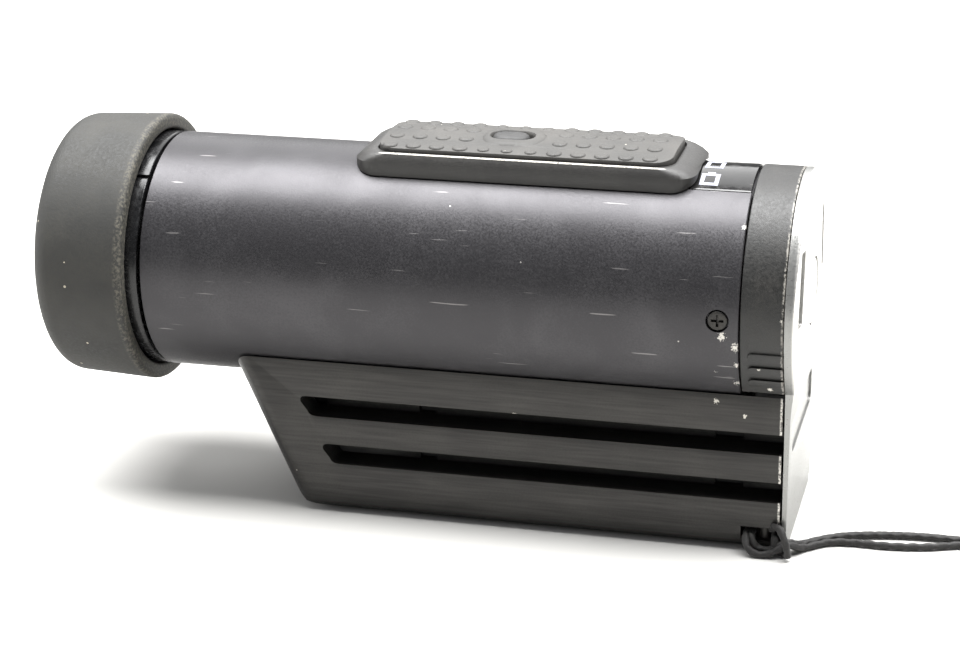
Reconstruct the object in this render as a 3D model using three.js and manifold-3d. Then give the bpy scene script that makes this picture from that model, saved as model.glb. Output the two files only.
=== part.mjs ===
// Barrel action camera with a rubber lens cap, a rail base and a wrist lanyard.
// Units are millimetres. While the pieces are shaped, x = 0 is the rear face of the barrel,
// -x points to the lens, z = 0 is the barrel axis and +z is up. The last lines stand the
// camera on its base with the origin under the middle of its box.
import * as THREE from 'three';
import { mergeVertices } from 'three/addons/utils/BufferGeometryUtils.js';
import Module from 'manifold-3d';

const wasm = await Module();
wasm.setup();

// ---- Driving dimensions ----------------------------------------------------
const fit = 0.3; // gap between pieces that seat in or on each other
const snug = 0.15; // gap round trim that is let into a surface

const barrelRadius = 16.25;
const barrelWall = 1.6;
const barrelLength = 80.7;

const capWall = 2.1; // at the open rear rim
const capTaper = 0.45; // how much narrower the closed end is
const capLength = 13.4;
const capFace = 2.2;
const capReach = 1.9; // distance from the barrel to the open rim
const capRound = 2.8;

const headSeam = 0.5; // dark joint between the turning head and the barrel
const headWall = 1.9;
const headLength = 12.0;
const bushClearance = 1.0; // round the lens tube
const bushNeck = 2.6;
const lensRadius = 7.0;
const lensTubeRadius = 6.2;
const lensTubeWall = 1.0;
const laserRadius = 1.6;

const baseHalfWidth = 12.9;
const baseDepth = 32.6; // from the barrel axis down to the standing surface
const baseSetback = 10.2; // from the front of the barrel to the base front where they meet
const baseRake = 0.43; // how far the front leans back for each mm down
const baseToeRadius = 7.5;
const baseEdgeRadius = 3.0; // lower side edges
const baseNoseRadius = 3.2; // upright front edges

const slotDepth = 4.3;
const slotHeight = 2.85;
const slotTops = [-15.55, -22.35];
const slotSetback = 7.9; // metal left between the raked front and a slot's closed end
const detentDepth = 1.0;
const frontDetent = { setback: 11.8, length: 2.3 }; // measured back from the base front
const middleDetent = { station: -43.2, length: 2.4 };
const rearDetent = { station: -1.9, length: 3.8 };

const doorLength = 5.7;
const doorWall = 1.6;
const doorSeam = 0.2;
const doorWeb = 1.2;
const plateGap = 0.1; // joint between the door moulding and its metal plate
const plateRim = 1.0; // height of the plate's bevelled edge
const plateCrown = 0.75; // how far the plate bows out past its rim
const plateFoot = 0.7; // thickness of the plate over the base
const guideInset = 5.25; // from the bore to a guide's middle plane
const guideStem = 1.0;
const guideHead = 2.4;
const guideHeadDepth = 1.2;
const guideStandOff = 2.8;
const guideClearance = 1.08; // between the top of a guide and the inside of the door moulding
const runnerLength = 8;
const runnerWall = 0.8;

const buttonRadius = 4.4;
const buttonTravel = 0.6;
const windowWidth = 2.8;
const windowHeight = 9.8;
const windowOffset = 10.9;
const windowRise = 3.9;
const windowLean = 8; // degrees
const gripHalfWidth = 9.8;
const gripHeight = 4.8;
const gripTop = -14.6;

const sliderRear = -7.4;
const sliderLength = 45.8;
const sliderHalfWidth = 7.6;
const sliderTaper = 0.45; // each side leans in from the barrel to the rim
const sliderRimRise = 1.45; // rim above the barrel
const sliderRimSetback = 2.5;
const sliderShoulder = 1.3; // height of the leaning part of the skirt
const sliderCorner = 3.2;
const sliderTravel = 6.6;
const padRise = 2.45; // middle of the pad above the barrel
const padCrownRadius = 45;
const padInset = 0.25;
const rimLip = 0.4; // flat edge of the frame round the pad
const stemHalfLength = 4;
const stemHalfWidth = 2;
const stemSetback = 26; // from the slider's rear end to the middle of its stem
const footHalfWidth = 4.2;
const footThickness = 1.2;
const footDrop = 1.1; // gap between the foot and the inside of the barrel

const lockSetback = 25.75;
const lockHalfLength = 2.5;
const lockHalfWidth = 1.75;
const lockTravel = 0.5;
const lockSlack = 0.15;
const lockBossSetback = 25.3;
const lockBossHalfLength = 4.1;
const lockBossHalfWidth = 3.6;
const lockBossRise = 0.45;

const markPlateLength = 8.2;
const markPlateAngle = 22.9; // half angle it spans on top of the barrel, degrees
const markPlateThickness = 0.5;

const screwStation = -2.7;
const screwHeight = 0.85;
const screwHeadRadius = 1.3;
const screwShankRadius = 0.7;
const screwLength = 3.4;
const screwConeHeight = 0.9;
const baseScrewSetback = 18.5; // front screw, from the base front
const baseScrewRear = -14;
const baseScrewHeadRadius = 1.9;
const baseScrewShankRadius = 1.0;

const bulkheadThickness = 4;
const batteryClearance = 0.8; // between the battery's lower edges and the bore
const batteryDrop = 6.25; // bottom of the bore to the underside of the battery
const batteryLength = 43;
const batteryTop = -1.6;
const boardClearance = 1.7; // between the board's edges and the bore
const boardThickness = 1.2;
const boardLevel = 1.6; // underside of the main board
const boardSetback = 1.8; // behind the sensor board
const switchBoardDrop = 5.6; // top of the bore to the slider's sensor board

const switchTravel = 1.6;
const switchHalfWidth = 0.9;
const switchHalfHeight = 0.8;
const switchDrop = 3.65; // top of the bore to the middle of the size switch
const lanyardNotch = { front: 0.4, rise: 1.7, height: 2.0, depth: 4.4 };
const lanyardPinRadius = 0.9;
const lanyardPinStation = 3.4;
const lanyardPinInset = 1.9; // from the base side to the pin's axis
const cordRadius = 0.5;

const roundFacets = 40;
const smallFacets = 12;
const cordSides = 8;

// ---- Shared values worked out from the driving dimensions --------------------
const boreRadius = barrelRadius - barrelWall;
const frontX = -barrelLength;
const capRear = frontX - capReach;
const capFront = capRear - capLength;
const headRadius = barrelRadius - 0.05;
const capBore = headRadius + fit;
const capRadius = capBore + capWall;
const headRear = frontX - headSeam;
const headFront = headRear - headLength;
const plateFront = doorLength + plateGap;
const baseRearX = plateFront - fit;
const baseFrontX = frontX + baseSetback;
const plateEdge = plateFront + plateRim;
const plateCrest = plateEdge + plateCrown;
const creaseHeight = -Math.sqrt(barrelRadius ** 2 - baseHalfWidth ** 2);
const degrees = Math.PI / 180;
const webFloor = creaseHeight + 0.35; // underside of the door moulding's inner web
const doorInner = barrelRadius - doorWall;
const guideOffset = boreRadius - guideInset;
// The guides end below the barrel's crease and inside the door moulding, which rides past them.
const guideTop = Math.sqrt((doorInner - guideClearance) ** 2 - (guideOffset + guideHead / 2) ** 2);
const guideFoot = -Math.sqrt((doorInner - fit) ** 2 - (guideOffset + guideHead / 2) ** 2);
const stemStation = sliderRear - stemSetback;
const lockStation = sliderRear - lockSetback;
const lockBossStation = sliderRear - lockBossSetback;
const baseScrewStations = [baseFrontX + baseScrewSetback, baseScrewRear];
const switchLevel = boreRadius - switchDrop;
const switchReach = switchTravel / 2 + switchHalfWidth;

// ---- Materials ---------------------------------------------------------------
const finish = (color, roughness, metalness) =>
  new THREE.MeshStandardMaterial({ color, roughness, metalness });
const rubber = () => finish(0x2b2a28, 0.85, 0);
const blackAluminium = () => finish(0x1b1b1c, 0.42, 0.7);
const blackPlastic = () => finish(0x19191a, 0.6, 0);
const glossPlastic = () => finish(0x101011, 0.18, 0);
const silverAluminium = () => finish(0xc9cacb, 0.35, 0.9);
const steel = () => finish(0x9a9b9d, 0.3, 1);
const blackSteel = () => finish(0x151515, 0.4, 0.8);
const glass = () => finish(0x1c2a3a, 0.05, 0);
const boardGreen = () => finish(0x1d4a2c, 0.5, 0);
const brass = () => finish(0xb08d4a, 0.35, 0.9);
const braid = () => finish(0x121212, 0.9, 0);

// ---- Making and cutting solids -------------------------------------------------
// A closed three.js geometry as a solid, with its faces turned outwards.
const solidOf = (geometry) => {
  const bare = geometry.clone();
  bare.deleteAttribute('normal');
  bare.deleteAttribute('uv');
  const merged = mergeVertices(bare, 1e-4);
  const spots = merged.attributes.position;
  const corner = (i) => new THREE.Vector3().fromBufferAttribute(spots, i);
  const faces = [];
  let volume = 0;
  for (let i = 0; i < merged.index.count; i += 3) {
    const [a, b, c] = [0, 1, 2].map((k) => merged.index.getX(i + k));
    if (a === b || b === c || a === c) continue;
    faces.push([a, b, c]);
    volume += corner(a).dot(corner(b).cross(corner(c)));
  }
  const turned = volume < 0 ? faces.map(([a, b, c]) => [a, c, b]) : faces;
  return new wasm.Manifold(new wasm.Mesh({
    numProp: 3,
    vertProperties: Float32Array.from(spots.array),
    triVerts: Uint32Array.from(turned.flat()),
  }));
};

const geometryOf = (manifold) => {
  const mesh = manifold.getMesh();
  const geometry = new THREE.BufferGeometry();
  geometry.setAttribute('position', new THREE.BufferAttribute(mesh.vertProperties, 3));
  geometry.setIndex(new THREE.BufferAttribute(mesh.triVerts, 1));
  geometry.computeVertexNormals();
  return geometry;
};

const piece = (name, manifold, material) => {
  const mesh = new THREE.Mesh(geometryOf(manifold), material);
  mesh.name = name;
  return mesh;
};

const axes = {
  x: new THREE.Vector3(1, 0, 0),
  y: new THREE.Vector3(0, 1, 0),
  z: new THREE.Vector3(0, 0, 1),
};

// An outline drawn in (y, z), carried along x from one station to another.
const alongX = (shape, x0, x1, curveSegments = 16) => {
  const body = new THREE.ExtrudeGeometry(shape, { depth: x1 - x0, bevelEnabled: false, curveSegments });
  body.applyMatrix4(new THREE.Matrix4().makeBasis(axes.y, axes.z, axes.x).setPosition(x0, 0, 0));
  return solidOf(body);
};

// An outline drawn in (x, z), carried along y.
const alongY = (shape, y0, y1, curveSegments = 16) => {
  const body = new THREE.ExtrudeGeometry(shape, { depth: y1 - y0, bevelEnabled: false, curveSegments });
  const back = axes.y.clone().negate();
  body.applyMatrix4(new THREE.Matrix4().makeBasis(axes.x, axes.z, back).setPosition(0, y1, 0));
  return solidOf(body);
};

// An outline drawn in (x, y), carried along z.
const alongZ = (shape, z0, z1, curveSegments = 16) => {
  const body = new THREE.ExtrudeGeometry(shape, { depth: z1 - z0, bevelEnabled: false, curveSegments });
  body.translate(0, 0, z0);
  return solidOf(body);
};

// A profile of [x, radius] points turned about the x axis.
const turned = (profile, facets = roundFacets) => {
  const points = profile.map(([x, radius]) => new THREE.Vector2(radius, x));
  const body = new THREE.LatheGeometry(points, facets);
  const back = axes.z.clone().negate();
  body.applyMatrix4(new THREE.Matrix4().makeBasis(axes.y, axes.x, back));
  return solidOf(body);
};

// A closed ring profile between two stations and two radii.
const ring = (x0, x1, inner, outer, facets = roundFacets) =>
  turned([[x0, inner], [x1, inner], [x1, outer], [x0, outer], [x0, inner]], facets);

const disc = (x0, x1, radius, facets = roundFacets) =>
  turned([[x0, 0], [x0, radius], [x1, radius], [x1, 0]], facets);

const block = (x0, x1, y0, y1, z0, z1) => {
  const box = new THREE.BoxGeometry(x1 - x0, y1 - y0, z1 - z0);
  box.translate((x0 + x1) / 2, (y0 + y1) / 2, (z0 + z1) / 2);
  return solidOf(box);
};

// A round pin whose axis is parallel to z.
const upright = (x, y, z0, z1, radius, facets = smallFacets) => {
  const pin = new THREE.CylinderGeometry(radius, radius, z1 - z0, facets);
  pin.rotateX(Math.PI / 2);
  pin.translate(x, y, (z0 + z1) / 2);
  return solidOf(pin);
};

const moved = (manifold, x, y, z) => manifold.translate([x, y, z]);

const roundedRectangle = (u0, u1, v0, v1, radius) => {
  const shape = new THREE.Shape();
  shape.moveTo(u0 + radius, v0);
  shape.absarc(u1 - radius, v0 + radius, radius, -Math.PI / 2, 0, false);
  shape.absarc(u1 - radius, v1 - radius, radius, 0, Math.PI / 2, false);
  shape.absarc(u0 + radius, v1 - radius, radius, Math.PI / 2, Math.PI, false);
  shape.absarc(u0 + radius, v0 + radius, radius, Math.PI, Math.PI * 1.5, false);
  return shape;
};

// A piece of a ring seen along x, between two angles measured from +y towards +z.
const arcBand = (inner, outer, from, to) => {
  const shape = new THREE.Shape();
  shape.absarc(0, 0, outer, from, to, false);
  shape.absarc(0, 0, inner, to, from, true);
  return shape;
};

// ---- Lens cap ------------------------------------------------------------------
// A moulded rubber cup pushed over the turning head.
const capEndRadius = capRadius - capTaper;
const capProfile = [[capFront, 0]];
for (let step = 0; step <= 5; step += 1) {
  const angle = (step / 5) * (Math.PI / 2);
  capProfile.push([
    capFront + capRound * (1 - Math.cos(angle)),
    capEndRadius - capRound * (1 - Math.sin(angle)),
  ]);
}
capProfile.push(
  [capRear - 1.0, capRadius],
  [capRear - 0.3, capRadius - 0.25],
  [capRear, capRadius - 0.8],
  [capRear, capBore + 0.4],
  [capRear - 0.6, capBore],
  [capFront + capFace, capBore],
  [capFront + capFace, 0],
);
const lensCap = new THREE.Group();
lensCap.add(piece('lens_cap', turned(capProfile), rubber()));

// ---- Turning lens head -----------------------------------------------------------
const lensHead = new THREE.Group();
const headBore = headRadius - headWall;
const bushBore = lensTubeRadius + bushClearance;
const laserOffset = (lensRadius + headBore) / 2;
const webRear = headRear - bushNeck - fit;
const webFront = webRear - 2;
const bezelFront = headFront + 0.4;
const bezelRear = bezelFront + 1.6;
const laserBore = laserRadius + snug;
let headRing = turned([
  [headRear, headBore], [webRear, headBore], [webRear, lensTubeRadius + snug],
  [webFront, lensTubeRadius + snug], [webFront, headBore], [headFront, headBore],
  [headFront, headRadius - 0.5], [headFront + 0.5, headRadius],
  [headRear - 0.3, headRadius], [headRear, headRadius - 0.3], [headRear, headBore],
]);
for (const side of [-1, 1]) {
  const laserHole = disc(webFront - 1, webRear + 1, laserBore, smallFacets);
  headRing = headRing.subtract(moved(laserHole, 0, side * laserOffset, 0));
}
lensHead.add(piece('lens_ring', headRing, glossPlastic()));

let bezel = ring(bezelFront, bezelRear, lensRadius + snug, headBore - fit);
for (const side of [-1, 1]) {
  const laserHole = disc(bezelFront - 1, bezelRear + 1, laserBore, smallFacets);
  bezel = bezel.subtract(moved(laserHole, 0, side * laserOffset, 0));
}
lensHead.add(piece('lens_bezel', bezel, glossPlastic()));

const lensBack = bezelRear + 0.4;
const lensProfile = [[bezelFront + 0.2, 0]];
for (let step = 1; step <= 5; step += 1) {
  const share = step / 5;
  lensProfile.push([bezelFront + 0.2 + 0.8 * share * share, lensRadius * share]);
}
lensProfile.push([lensBack, lensRadius], [lensBack, 0]);
lensHead.add(piece('front_lens', turned(lensProfile, 28), glass()));

const tubeFront = lensBack + fit;
const tubeRear = frontX + 3.4;
const tubeFlange = bushBore + 1.6;
const tubeFlangeFront = frontX + 1.2 + fit;
const tubeBore = lensTubeRadius - lensTubeWall;
const tubeProfile = [
  [tubeFront, tubeBore], [tubeRear, tubeBore], [tubeRear, tubeFlange], [tubeFlangeFront, tubeFlange],
  [tubeFlangeFront, lensTubeRadius], [tubeFront, lensTubeRadius], [tubeFront, tubeBore],
];
lensHead.add(piece('lens_tube', turned(tubeProfile, 28), blackAluminium()));
const rearLensX = tubeRear - 2.4;
lensHead.add(piece('rear_lens', disc(rearLensX, rearLensX + 1.8, tubeBore - snug, 24), glass()));
const spacer = ring(lensBack + 0.8, rearLensX - fit, tubeBore - 0.7, tubeBore - snug, 24);
lensHead.add(piece('lens_spacer', spacer, blackAluminium()));
for (const [label, side] of [['left', -1], ['right', 1]]) {
  const laser = disc(bezelFront + 0.3, webRear - 0.3, laserRadius, smallFacets);
  lensHead.add(piece(`laser_module_${label}`, moved(laser, 0, side * laserOffset, 0), brass()));
}

// ---- Barrel ------------------------------------------------------------------------
const fixed = new THREE.Group();
const stemSlotFront = stemStation - stemHalfLength - fit;
const stemSlotRear = stemStation + stemHalfLength + sliderTravel + fit;
const markAngle = markPlateAngle * degrees;
const markFloor = barrelRadius - markPlateThickness - fit;
const markFront = -markPlateLength - snug;
const sideScrewHole = (side, radius, depth) => {
  const hole = new THREE.CylinderGeometry(radius, radius, depth, smallFacets);
  hole.translate(screwStation, side * (barrelRadius - depth / 2 + 0.5), screwHeight);
  return solidOf(hole);
};
// A countersunk head's cone, grown by a margin where it cuts its seat.
const sideScrewCone = (side, margin, lift) => {
  const cone = new THREE.CylinderGeometry(
    screwHeadRadius + margin, screwShankRadius + margin, screwConeHeight, smallFacets);
  if (side < 0) cone.rotateX(Math.PI);
  cone.translate(screwStation, side * (barrelRadius - screwConeHeight / 2 + lift), screwHeight);
  return solidOf(cone);
};
let barrel = ring(frontX, 0, boreRadius, barrelRadius);
barrel = barrel.subtract(block(
  stemSlotFront, stemSlotRear, -stemHalfWidth - fit, stemHalfWidth + fit, boreRadius - 2, barrelRadius + 1));
const markSeatAngle = markAngle + snug / barrelRadius;
const markSeat = arcBand(
  markFloor, barrelRadius + 1, Math.PI / 2 - markSeatAngle, Math.PI / 2 + markSeatAngle);
barrel = barrel.subtract(alongX(markSeat, markFront, 1));
for (const side of [-1, 1]) {
  barrel = barrel.subtract(sideScrewHole(side, screwShankRadius + snug, barrelWall + 1.5));
  barrel = barrel.subtract(sideScrewCone(side, snug, 0.1));
}
const baseScrewBore = baseScrewShankRadius + snug;
for (const station of baseScrewStations) {
  barrel = barrel.subtract(upright(station, 0, -barrelRadius - 1, -boreRadius + 2, baseScrewBore));
}
fixed.add(piece('barrel_tube', barrel, blackAluminium()));

const markPlate = alongX(
  arcBand(barrelRadius - markPlateThickness, barrelRadius, Math.PI / 2 - markAngle, Math.PI / 2 + markAngle),
  -markPlateLength, -snug);
fixed.add(piece('indicator_plate', markPlate, glossPlastic()));

for (const [label, side] of [['near', -1], ['far', 1]]) {
  const shank = new THREE.CylinderGeometry(screwShankRadius, screwShankRadius, screwLength, smallFacets);
  shank.translate(screwStation, side * (barrelRadius - 0.7 - screwLength / 2), screwHeight);
  let screw = solidOf(shank).add(sideScrewCone(side, 0, -0.12));
  const cross = [side * (barrelRadius - 0.55), side * (barrelRadius + 1)].sort((a, b) => a - b);
  for (const [halfX, halfZ] of [[0.75, 0.16], [0.16, 0.75]]) {
    screw = screw.subtract(block(
      screwStation - halfX, screwStation + halfX, cross[0], cross[1],
      screwHeight - halfZ, screwHeight + halfZ));
  }
  fixed.add(piece(`side_screw_${label}`, screw, blackSteel()));
}

// ---- Head bearing --------------------------------------------------------------------
const bushRadius = headBore - fit;
const sealRadius = 0.45;
const sealStation = frontX - 1.4;
const sealSeat = bushRadius - 0.75;
const bush = turned([
  [headRear - bushNeck, bushBore], [frontX + 1.2, bushBore], [frontX + 1.2, boreRadius - 0.6],
  [frontX + 7, boreRadius - 0.6], [frontX + 7, boreRadius - snug], [frontX + 0.2, boreRadius - snug],
  [frontX + 0.2, bushRadius], [sealStation + 0.7, bushRadius], [sealStation + 0.7, sealSeat],
  [sealStation - 0.7, sealSeat], [sealStation - 0.7, bushRadius], [headRear - bushNeck, bushRadius],
  [headRear - bushNeck, bushBore],
]);
fixed.add(piece('head_bearing', bush, blackPlastic()));
const sealProfile = [];
for (let step = 0; step <= 6; step += 1) {
  const angle = (step / 6) * Math.PI * 2;
  sealProfile.push([
    sealStation + sealRadius * Math.cos(angle),
    sealSeat + snug / 2 + sealRadius + sealRadius * Math.sin(angle) * 0.9,
  ]);
}
fixed.add(piece('head_seal', turned(sealProfile, 24), rubber()));

// ---- Rail base -------------------------------------------------------------------------
const rakeX = (z) => baseFrontX + (creaseHeight - z) * baseRake;
const rakeAngle = Math.atan(baseRake);
const baseBottom = -baseDepth;
const toeTangent = baseToeRadius * Math.tan((Math.PI / 2 - rakeAngle) / 2);
const toeCornerX = rakeX(baseBottom);
const toeCentreX = toeCornerX + toeTangent;
const baseTop = creaseHeight + 3;
const halfTurn = Math.PI;
const threeQuarterTurn = Math.PI * 1.5;
const fullTurn = Math.PI * 2;
const edgeCentreY = baseHalfWidth - baseEdgeRadius;
const edgeCentreZ = baseBottom + baseEdgeRadius;
const baseSide = new THREE.Shape();
baseSide.moveTo(baseRearX, baseTop);
baseSide.lineTo(rakeX(baseTop), baseTop);
baseSide.absarc(
  toeCentreX, baseBottom + baseToeRadius, baseToeRadius, halfTurn + rakeAngle, threeQuarterTurn, false);
baseSide.lineTo(baseRearX, baseBottom);
const baseSection = new THREE.Shape();
baseSection.moveTo(baseHalfWidth, baseTop);
baseSection.lineTo(-baseHalfWidth, baseTop);
baseSection.absarc(-edgeCentreY, edgeCentreZ, baseEdgeRadius, halfTurn, threeQuarterTurn, false);
baseSection.absarc(edgeCentreY, edgeCentreZ, baseEdgeRadius, threeQuarterTurn, fullTurn, false);
let base = alongY(baseSide, -baseHalfWidth, baseHalfWidth, 6);
base = base.intersect(alongX(baseSection, baseFrontX - 6, baseRearX + 1, 6));
// The upright front edges are rounded by a plan outline sheared along the rake.
const nosePlan = roundedRectangle(0, 200, -baseHalfWidth, baseHalfWidth, baseNoseRadius);
const noseFoot = -45;
const noseBlank = new THREE.ExtrudeGeometry(nosePlan, { depth: 60, bevelEnabled: false, curveSegments: 5 });
noseBlank.applyMatrix4(new THREE.Matrix4().set(
  1, 0, -baseRake, rakeX(noseFoot), 0, 1, 0, 0, 0, 0, 1, noseFoot, 0, 0, 0, 1));
base = base.intersect(solidOf(noseBlank));
base = base.subtract(disc(-120, 40, barrelRadius + fit));

const coreHalfWidth = baseHalfWidth - slotDepth;
const detents = [
  { station: baseFrontX + frontDetent.setback, length: frontDetent.length },
  middleDetent,
  rearDetent,
];
for (const slotTop of slotTops) {
  const slotBottom = slotTop - slotHeight;
  const endX = (z) => rakeX(z) + slotSetback;
  const slot = new THREE.Shape();
  slot.moveTo(baseRearX + 1, slotBottom);
  slot.lineTo(baseRearX + 1, slotTop);
  slot.lineTo(endX(slotTop) + 0.8, slotTop);
  slot.quadraticCurveTo(endX(slotTop) - 0.1, slotTop, endX(slotTop) + 0.3, slotTop - 0.9);
  slot.lineTo(endX(slotBottom) - 0.1, slotBottom + 0.9);
  slot.quadraticCurveTo(endX(slotBottom) + 0.3, slotBottom, endX(slotBottom) + 1.4, slotBottom);
  for (const side of [-1, 1]) {
    const edges = [side * coreHalfWidth, side * (baseHalfWidth + 1)].sort((a, b) => a - b);
    const deep = [side * (coreHalfWidth - detentDepth), side * (coreHalfWidth + 0.5)].sort((a, b) => a - b);
    const deepSlot = alongY(slot, deep[0], deep[1], 4);
    base = base.subtract(alongY(slot, edges[0], edges[1], 4));
    for (const { station, length } of detents) {
      const cut = block(
        station - length / 2, station + length / 2, deep[0] - 1, deep[1] + 1, slotBottom, slotTop);
      base = base.subtract(deepSlot.intersect(cut));
    }
  }
}
// Lanyard notch in the near lower rear corner, bridged by an upright pin.
const notchDepthY = -baseHalfWidth + lanyardNotch.depth;
const notchBottom = baseBottom + lanyardNotch.rise;
const notchTop = notchBottom + lanyardNotch.height;
base = base.subtract(block(
  lanyardNotch.front, baseRearX + 1, -baseHalfWidth - 1, notchDepthY, notchBottom, notchTop));
const pinY = -baseHalfWidth + lanyardPinInset;
const pinFoot = notchBottom - 1.2;
const pinHead = notchTop + 2;
const pinHole = upright(lanyardPinStation, pinY, pinFoot, pinHead, lanyardPinRadius + snug);
base = base.subtract(pinHole);
for (const station of baseScrewStations) {
  base = base.subtract(upright(station, 0, -barrelRadius - 6, -barrelRadius + 2, baseScrewBore));
}
fixed.add(piece('rail_base', base, blackAluminium()));
fixed.add(piece('lanyard_pin',
  upright(lanyardPinStation, pinY, pinFoot + snug, pinHead - snug, lanyardPinRadius), steel()));

for (const [index, station] of baseScrewStations.entries()) {
  const seat = -boreRadius + 0.35;
  const shank = upright(station, 0, -barrelRadius - 5.5, seat + 0.5, baseScrewShankRadius);
  const head = upright(station, 0, seat, seat + 1.1, baseScrewHeadRadius);
  const name = index === 0 ? 'base_screw_front' : 'base_screw_rear';
  fixed.add(piece(name, shank.add(head), blackSteel()));
}

// ---- Rear bulkhead ------------------------------------------------------------------------
const bulkheadRear = -0.3;
const bulkheadFront = bulkheadRear - bulkheadThickness;
const bulkheadRadius = boreRadius - snug;
const batteryBottom = -boreRadius + batteryDrop;
const batteryHalfWidth = Math.sqrt((boreRadius - batteryClearance) ** 2 - batteryBottom ** 2);
const cardLevel = boardLevel + 2.8;
const cardThickness = 1;
const cardHalfWidth = 5.6;
const cardCentre = -5.4;
const socketHalfWidth = 4;
const socketCentre = 5.6;
const socketHeight = 4;
let bulkhead = disc(bulkheadFront, bulkheadRear, bulkheadRadius);
const opening = (y0, y1, z0, z1) => block(bulkheadFront - 1, bulkheadRear + 1, y0, y1, z0, z1);
bulkhead = bulkhead.subtract(opening(
  -batteryHalfWidth - fit, batteryHalfWidth + fit, batteryBottom - fit, batteryTop + fit));
bulkhead = bulkhead.subtract(opening(
  cardCentre - cardHalfWidth - fit, cardCentre + cardHalfWidth + fit,
  cardLevel - fit, cardLevel + cardThickness + fit));
bulkhead = bulkhead.subtract(opening(
  socketCentre - socketHalfWidth - fit, socketCentre + socketHalfWidth + fit,
  boardLevel + boardThickness + fit, boardLevel + boardThickness + 3 * fit + socketHeight));
bulkhead = bulkhead.subtract(opening(
  -switchReach - fit, switchReach + fit,
  switchLevel - switchHalfHeight - fit, switchLevel + switchHalfHeight + fit));
const screwBore = screwShankRadius + snug;
for (const side of [-1, 1]) {
  const shankHole = new THREE.CylinderGeometry(screwBore, screwBore, 2 * bulkheadThickness, smallFacets);
  shankHole.translate(screwStation, side * (barrelRadius - 0.5), screwHeight);
  bulkhead = bulkhead.subtract(solidOf(shankHole));
  const inner = side * guideOffset;
  const stem = block(
    bulkheadRear - 0.1, guideStandOff + 0.1,
    inner - guideStem / 2, inner + guideStem / 2, guideFoot, guideTop);
  const head = block(
    guideStandOff, guideStandOff + guideHeadDepth,
    inner - guideHead / 2, inner + guideHead / 2, guideFoot, guideTop);
  bulkhead = bulkhead.add(stem).add(head);
}
fixed.add(piece('rear_bulkhead', bulkhead, blackPlastic()));

const batteryFront = bulkheadRear - 0.3 - batteryLength;
fixed.add(piece('battery', alongX(
  roundedRectangle(-batteryHalfWidth, batteryHalfWidth, batteryBottom, batteryTop, 1.2),
  batteryFront, bulkheadRear - 0.3, 4), finish(0x2a3a5a, 0.5, 0)));
fixed.add(piece('battery_contacts', block(
  batteryFront - 2.4, batteryFront - fit, -5, 5, batteryBottom + 1, batteryTop - 1), brass()));

// The image sensor sits behind the lens tube on a round board across the bore.
const sensorX = tubeRear + 2.2;
const sensorThickness = 1.4;
const sensorBoardX = sensorX + sensorThickness + fit;
fixed.add(piece('image_sensor',
  block(sensorX, sensorX + sensorThickness, -4.5, 4.5, -4, 4), blackPlastic()));
fixed.add(piece('sensor_board',
  disc(sensorBoardX, sensorBoardX + boardThickness - 0.2, boreRadius - 1.6, 24), boardGreen()));

const boardRear = bulkheadFront - fit;
const boardFront = sensorBoardX + boardThickness - 0.2 + boardSetback;
const boardTop = boardLevel + boardThickness;
const boardHalfWidth = Math.sqrt((boreRadius - boardClearance) ** 2 - boardTop ** 2);
fixed.add(piece('main_board',
  block(boardFront, boardRear, -boardHalfWidth, boardHalfWidth, boardLevel, boardTop), boardGreen()));
const cardSlotX = bulkheadFront - fit;
const cardSlotLength = 13;
const cardReach = 11.5; // how far the card goes into its slot
const cardSlotHalfWidth = cardHalfWidth + 1;
let cardSlot = block(
  cardSlotX - cardSlotLength, cardSlotX, cardCentre - cardSlotHalfWidth, cardCentre + cardSlotHalfWidth,
  boardTop + fit, cardLevel + 2.2);
cardSlot = cardSlot.subtract(block(
  cardSlotX - cardReach - 0.5, cardSlotX + 1,
  cardCentre - cardHalfWidth - fit, cardCentre + cardHalfWidth + fit,
  cardLevel - fit, cardLevel + cardThickness + fit));
fixed.add(piece('card_slot', cardSlot, steel()));
fixed.add(piece('memory_card', block(
  cardSlotX - cardReach, bulkheadRear - 0.2, cardCentre - cardHalfWidth, cardCentre + cardHalfWidth,
  cardLevel, cardLevel + cardThickness), blackPlastic()));
const socketLevel = boardTop + fit * 1.5;
const socketWall = 0.4;
let socket = block(
  bulkheadFront - 5.5, bulkheadRear - 0.4, socketCentre - socketHalfWidth, socketCentre + socketHalfWidth,
  socketLevel, socketLevel + socketHeight);
socket = socket.subtract(block(
  bulkheadFront - 5, bulkheadRear + 1,
  socketCentre - socketHalfWidth + socketWall, socketCentre + socketHalfWidth - socketWall,
  socketLevel + socketWall, socketLevel + socketHeight - socketWall));
fixed.add(piece('usb_socket', socket, steel()));
const chipLevel = boardTop + fit;
const processorFront = boardFront + 25;
fixed.add(piece('processor',
  block(processorFront, processorFront + 12, -6, 6, chipLevel, chipLevel + 1.2), blackPlastic()));
fixed.add(piece('microphone',
  upright(boardFront + 8.6, 8, chipLevel, chipLevel + 2.2, 2.4), silverAluminium()));

// The slider's magnet is read by a sensor on its own board over the battery bay.
const hallLevel = boreRadius - switchBoardDrop;
const switchBoardFront = stemSlotFront - 4;
const switchBoardRear = cardSlotX - cardSlotLength - fit;
fixed.add(piece('switch_board',
  block(switchBoardFront, switchBoardRear, -6.5, 6.5, hallLevel - 1, hallLevel), boardGreen()));
fixed.add(piece('hall_sensor', block(
  stemStation - 1.5, stemStation + 1.5, -1.5, 1.5, hallLevel + fit / 2, hallLevel + 0.8), blackPlastic()));

// ---- Record slider ----------------------------------------------------------------------------
// The frame's skirt is a tapered shell over the barrel; its foot runs inside the barrel slot.
const sliderSole = barrelRadius + fit;
const recordSlider = new THREE.Group();
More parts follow.
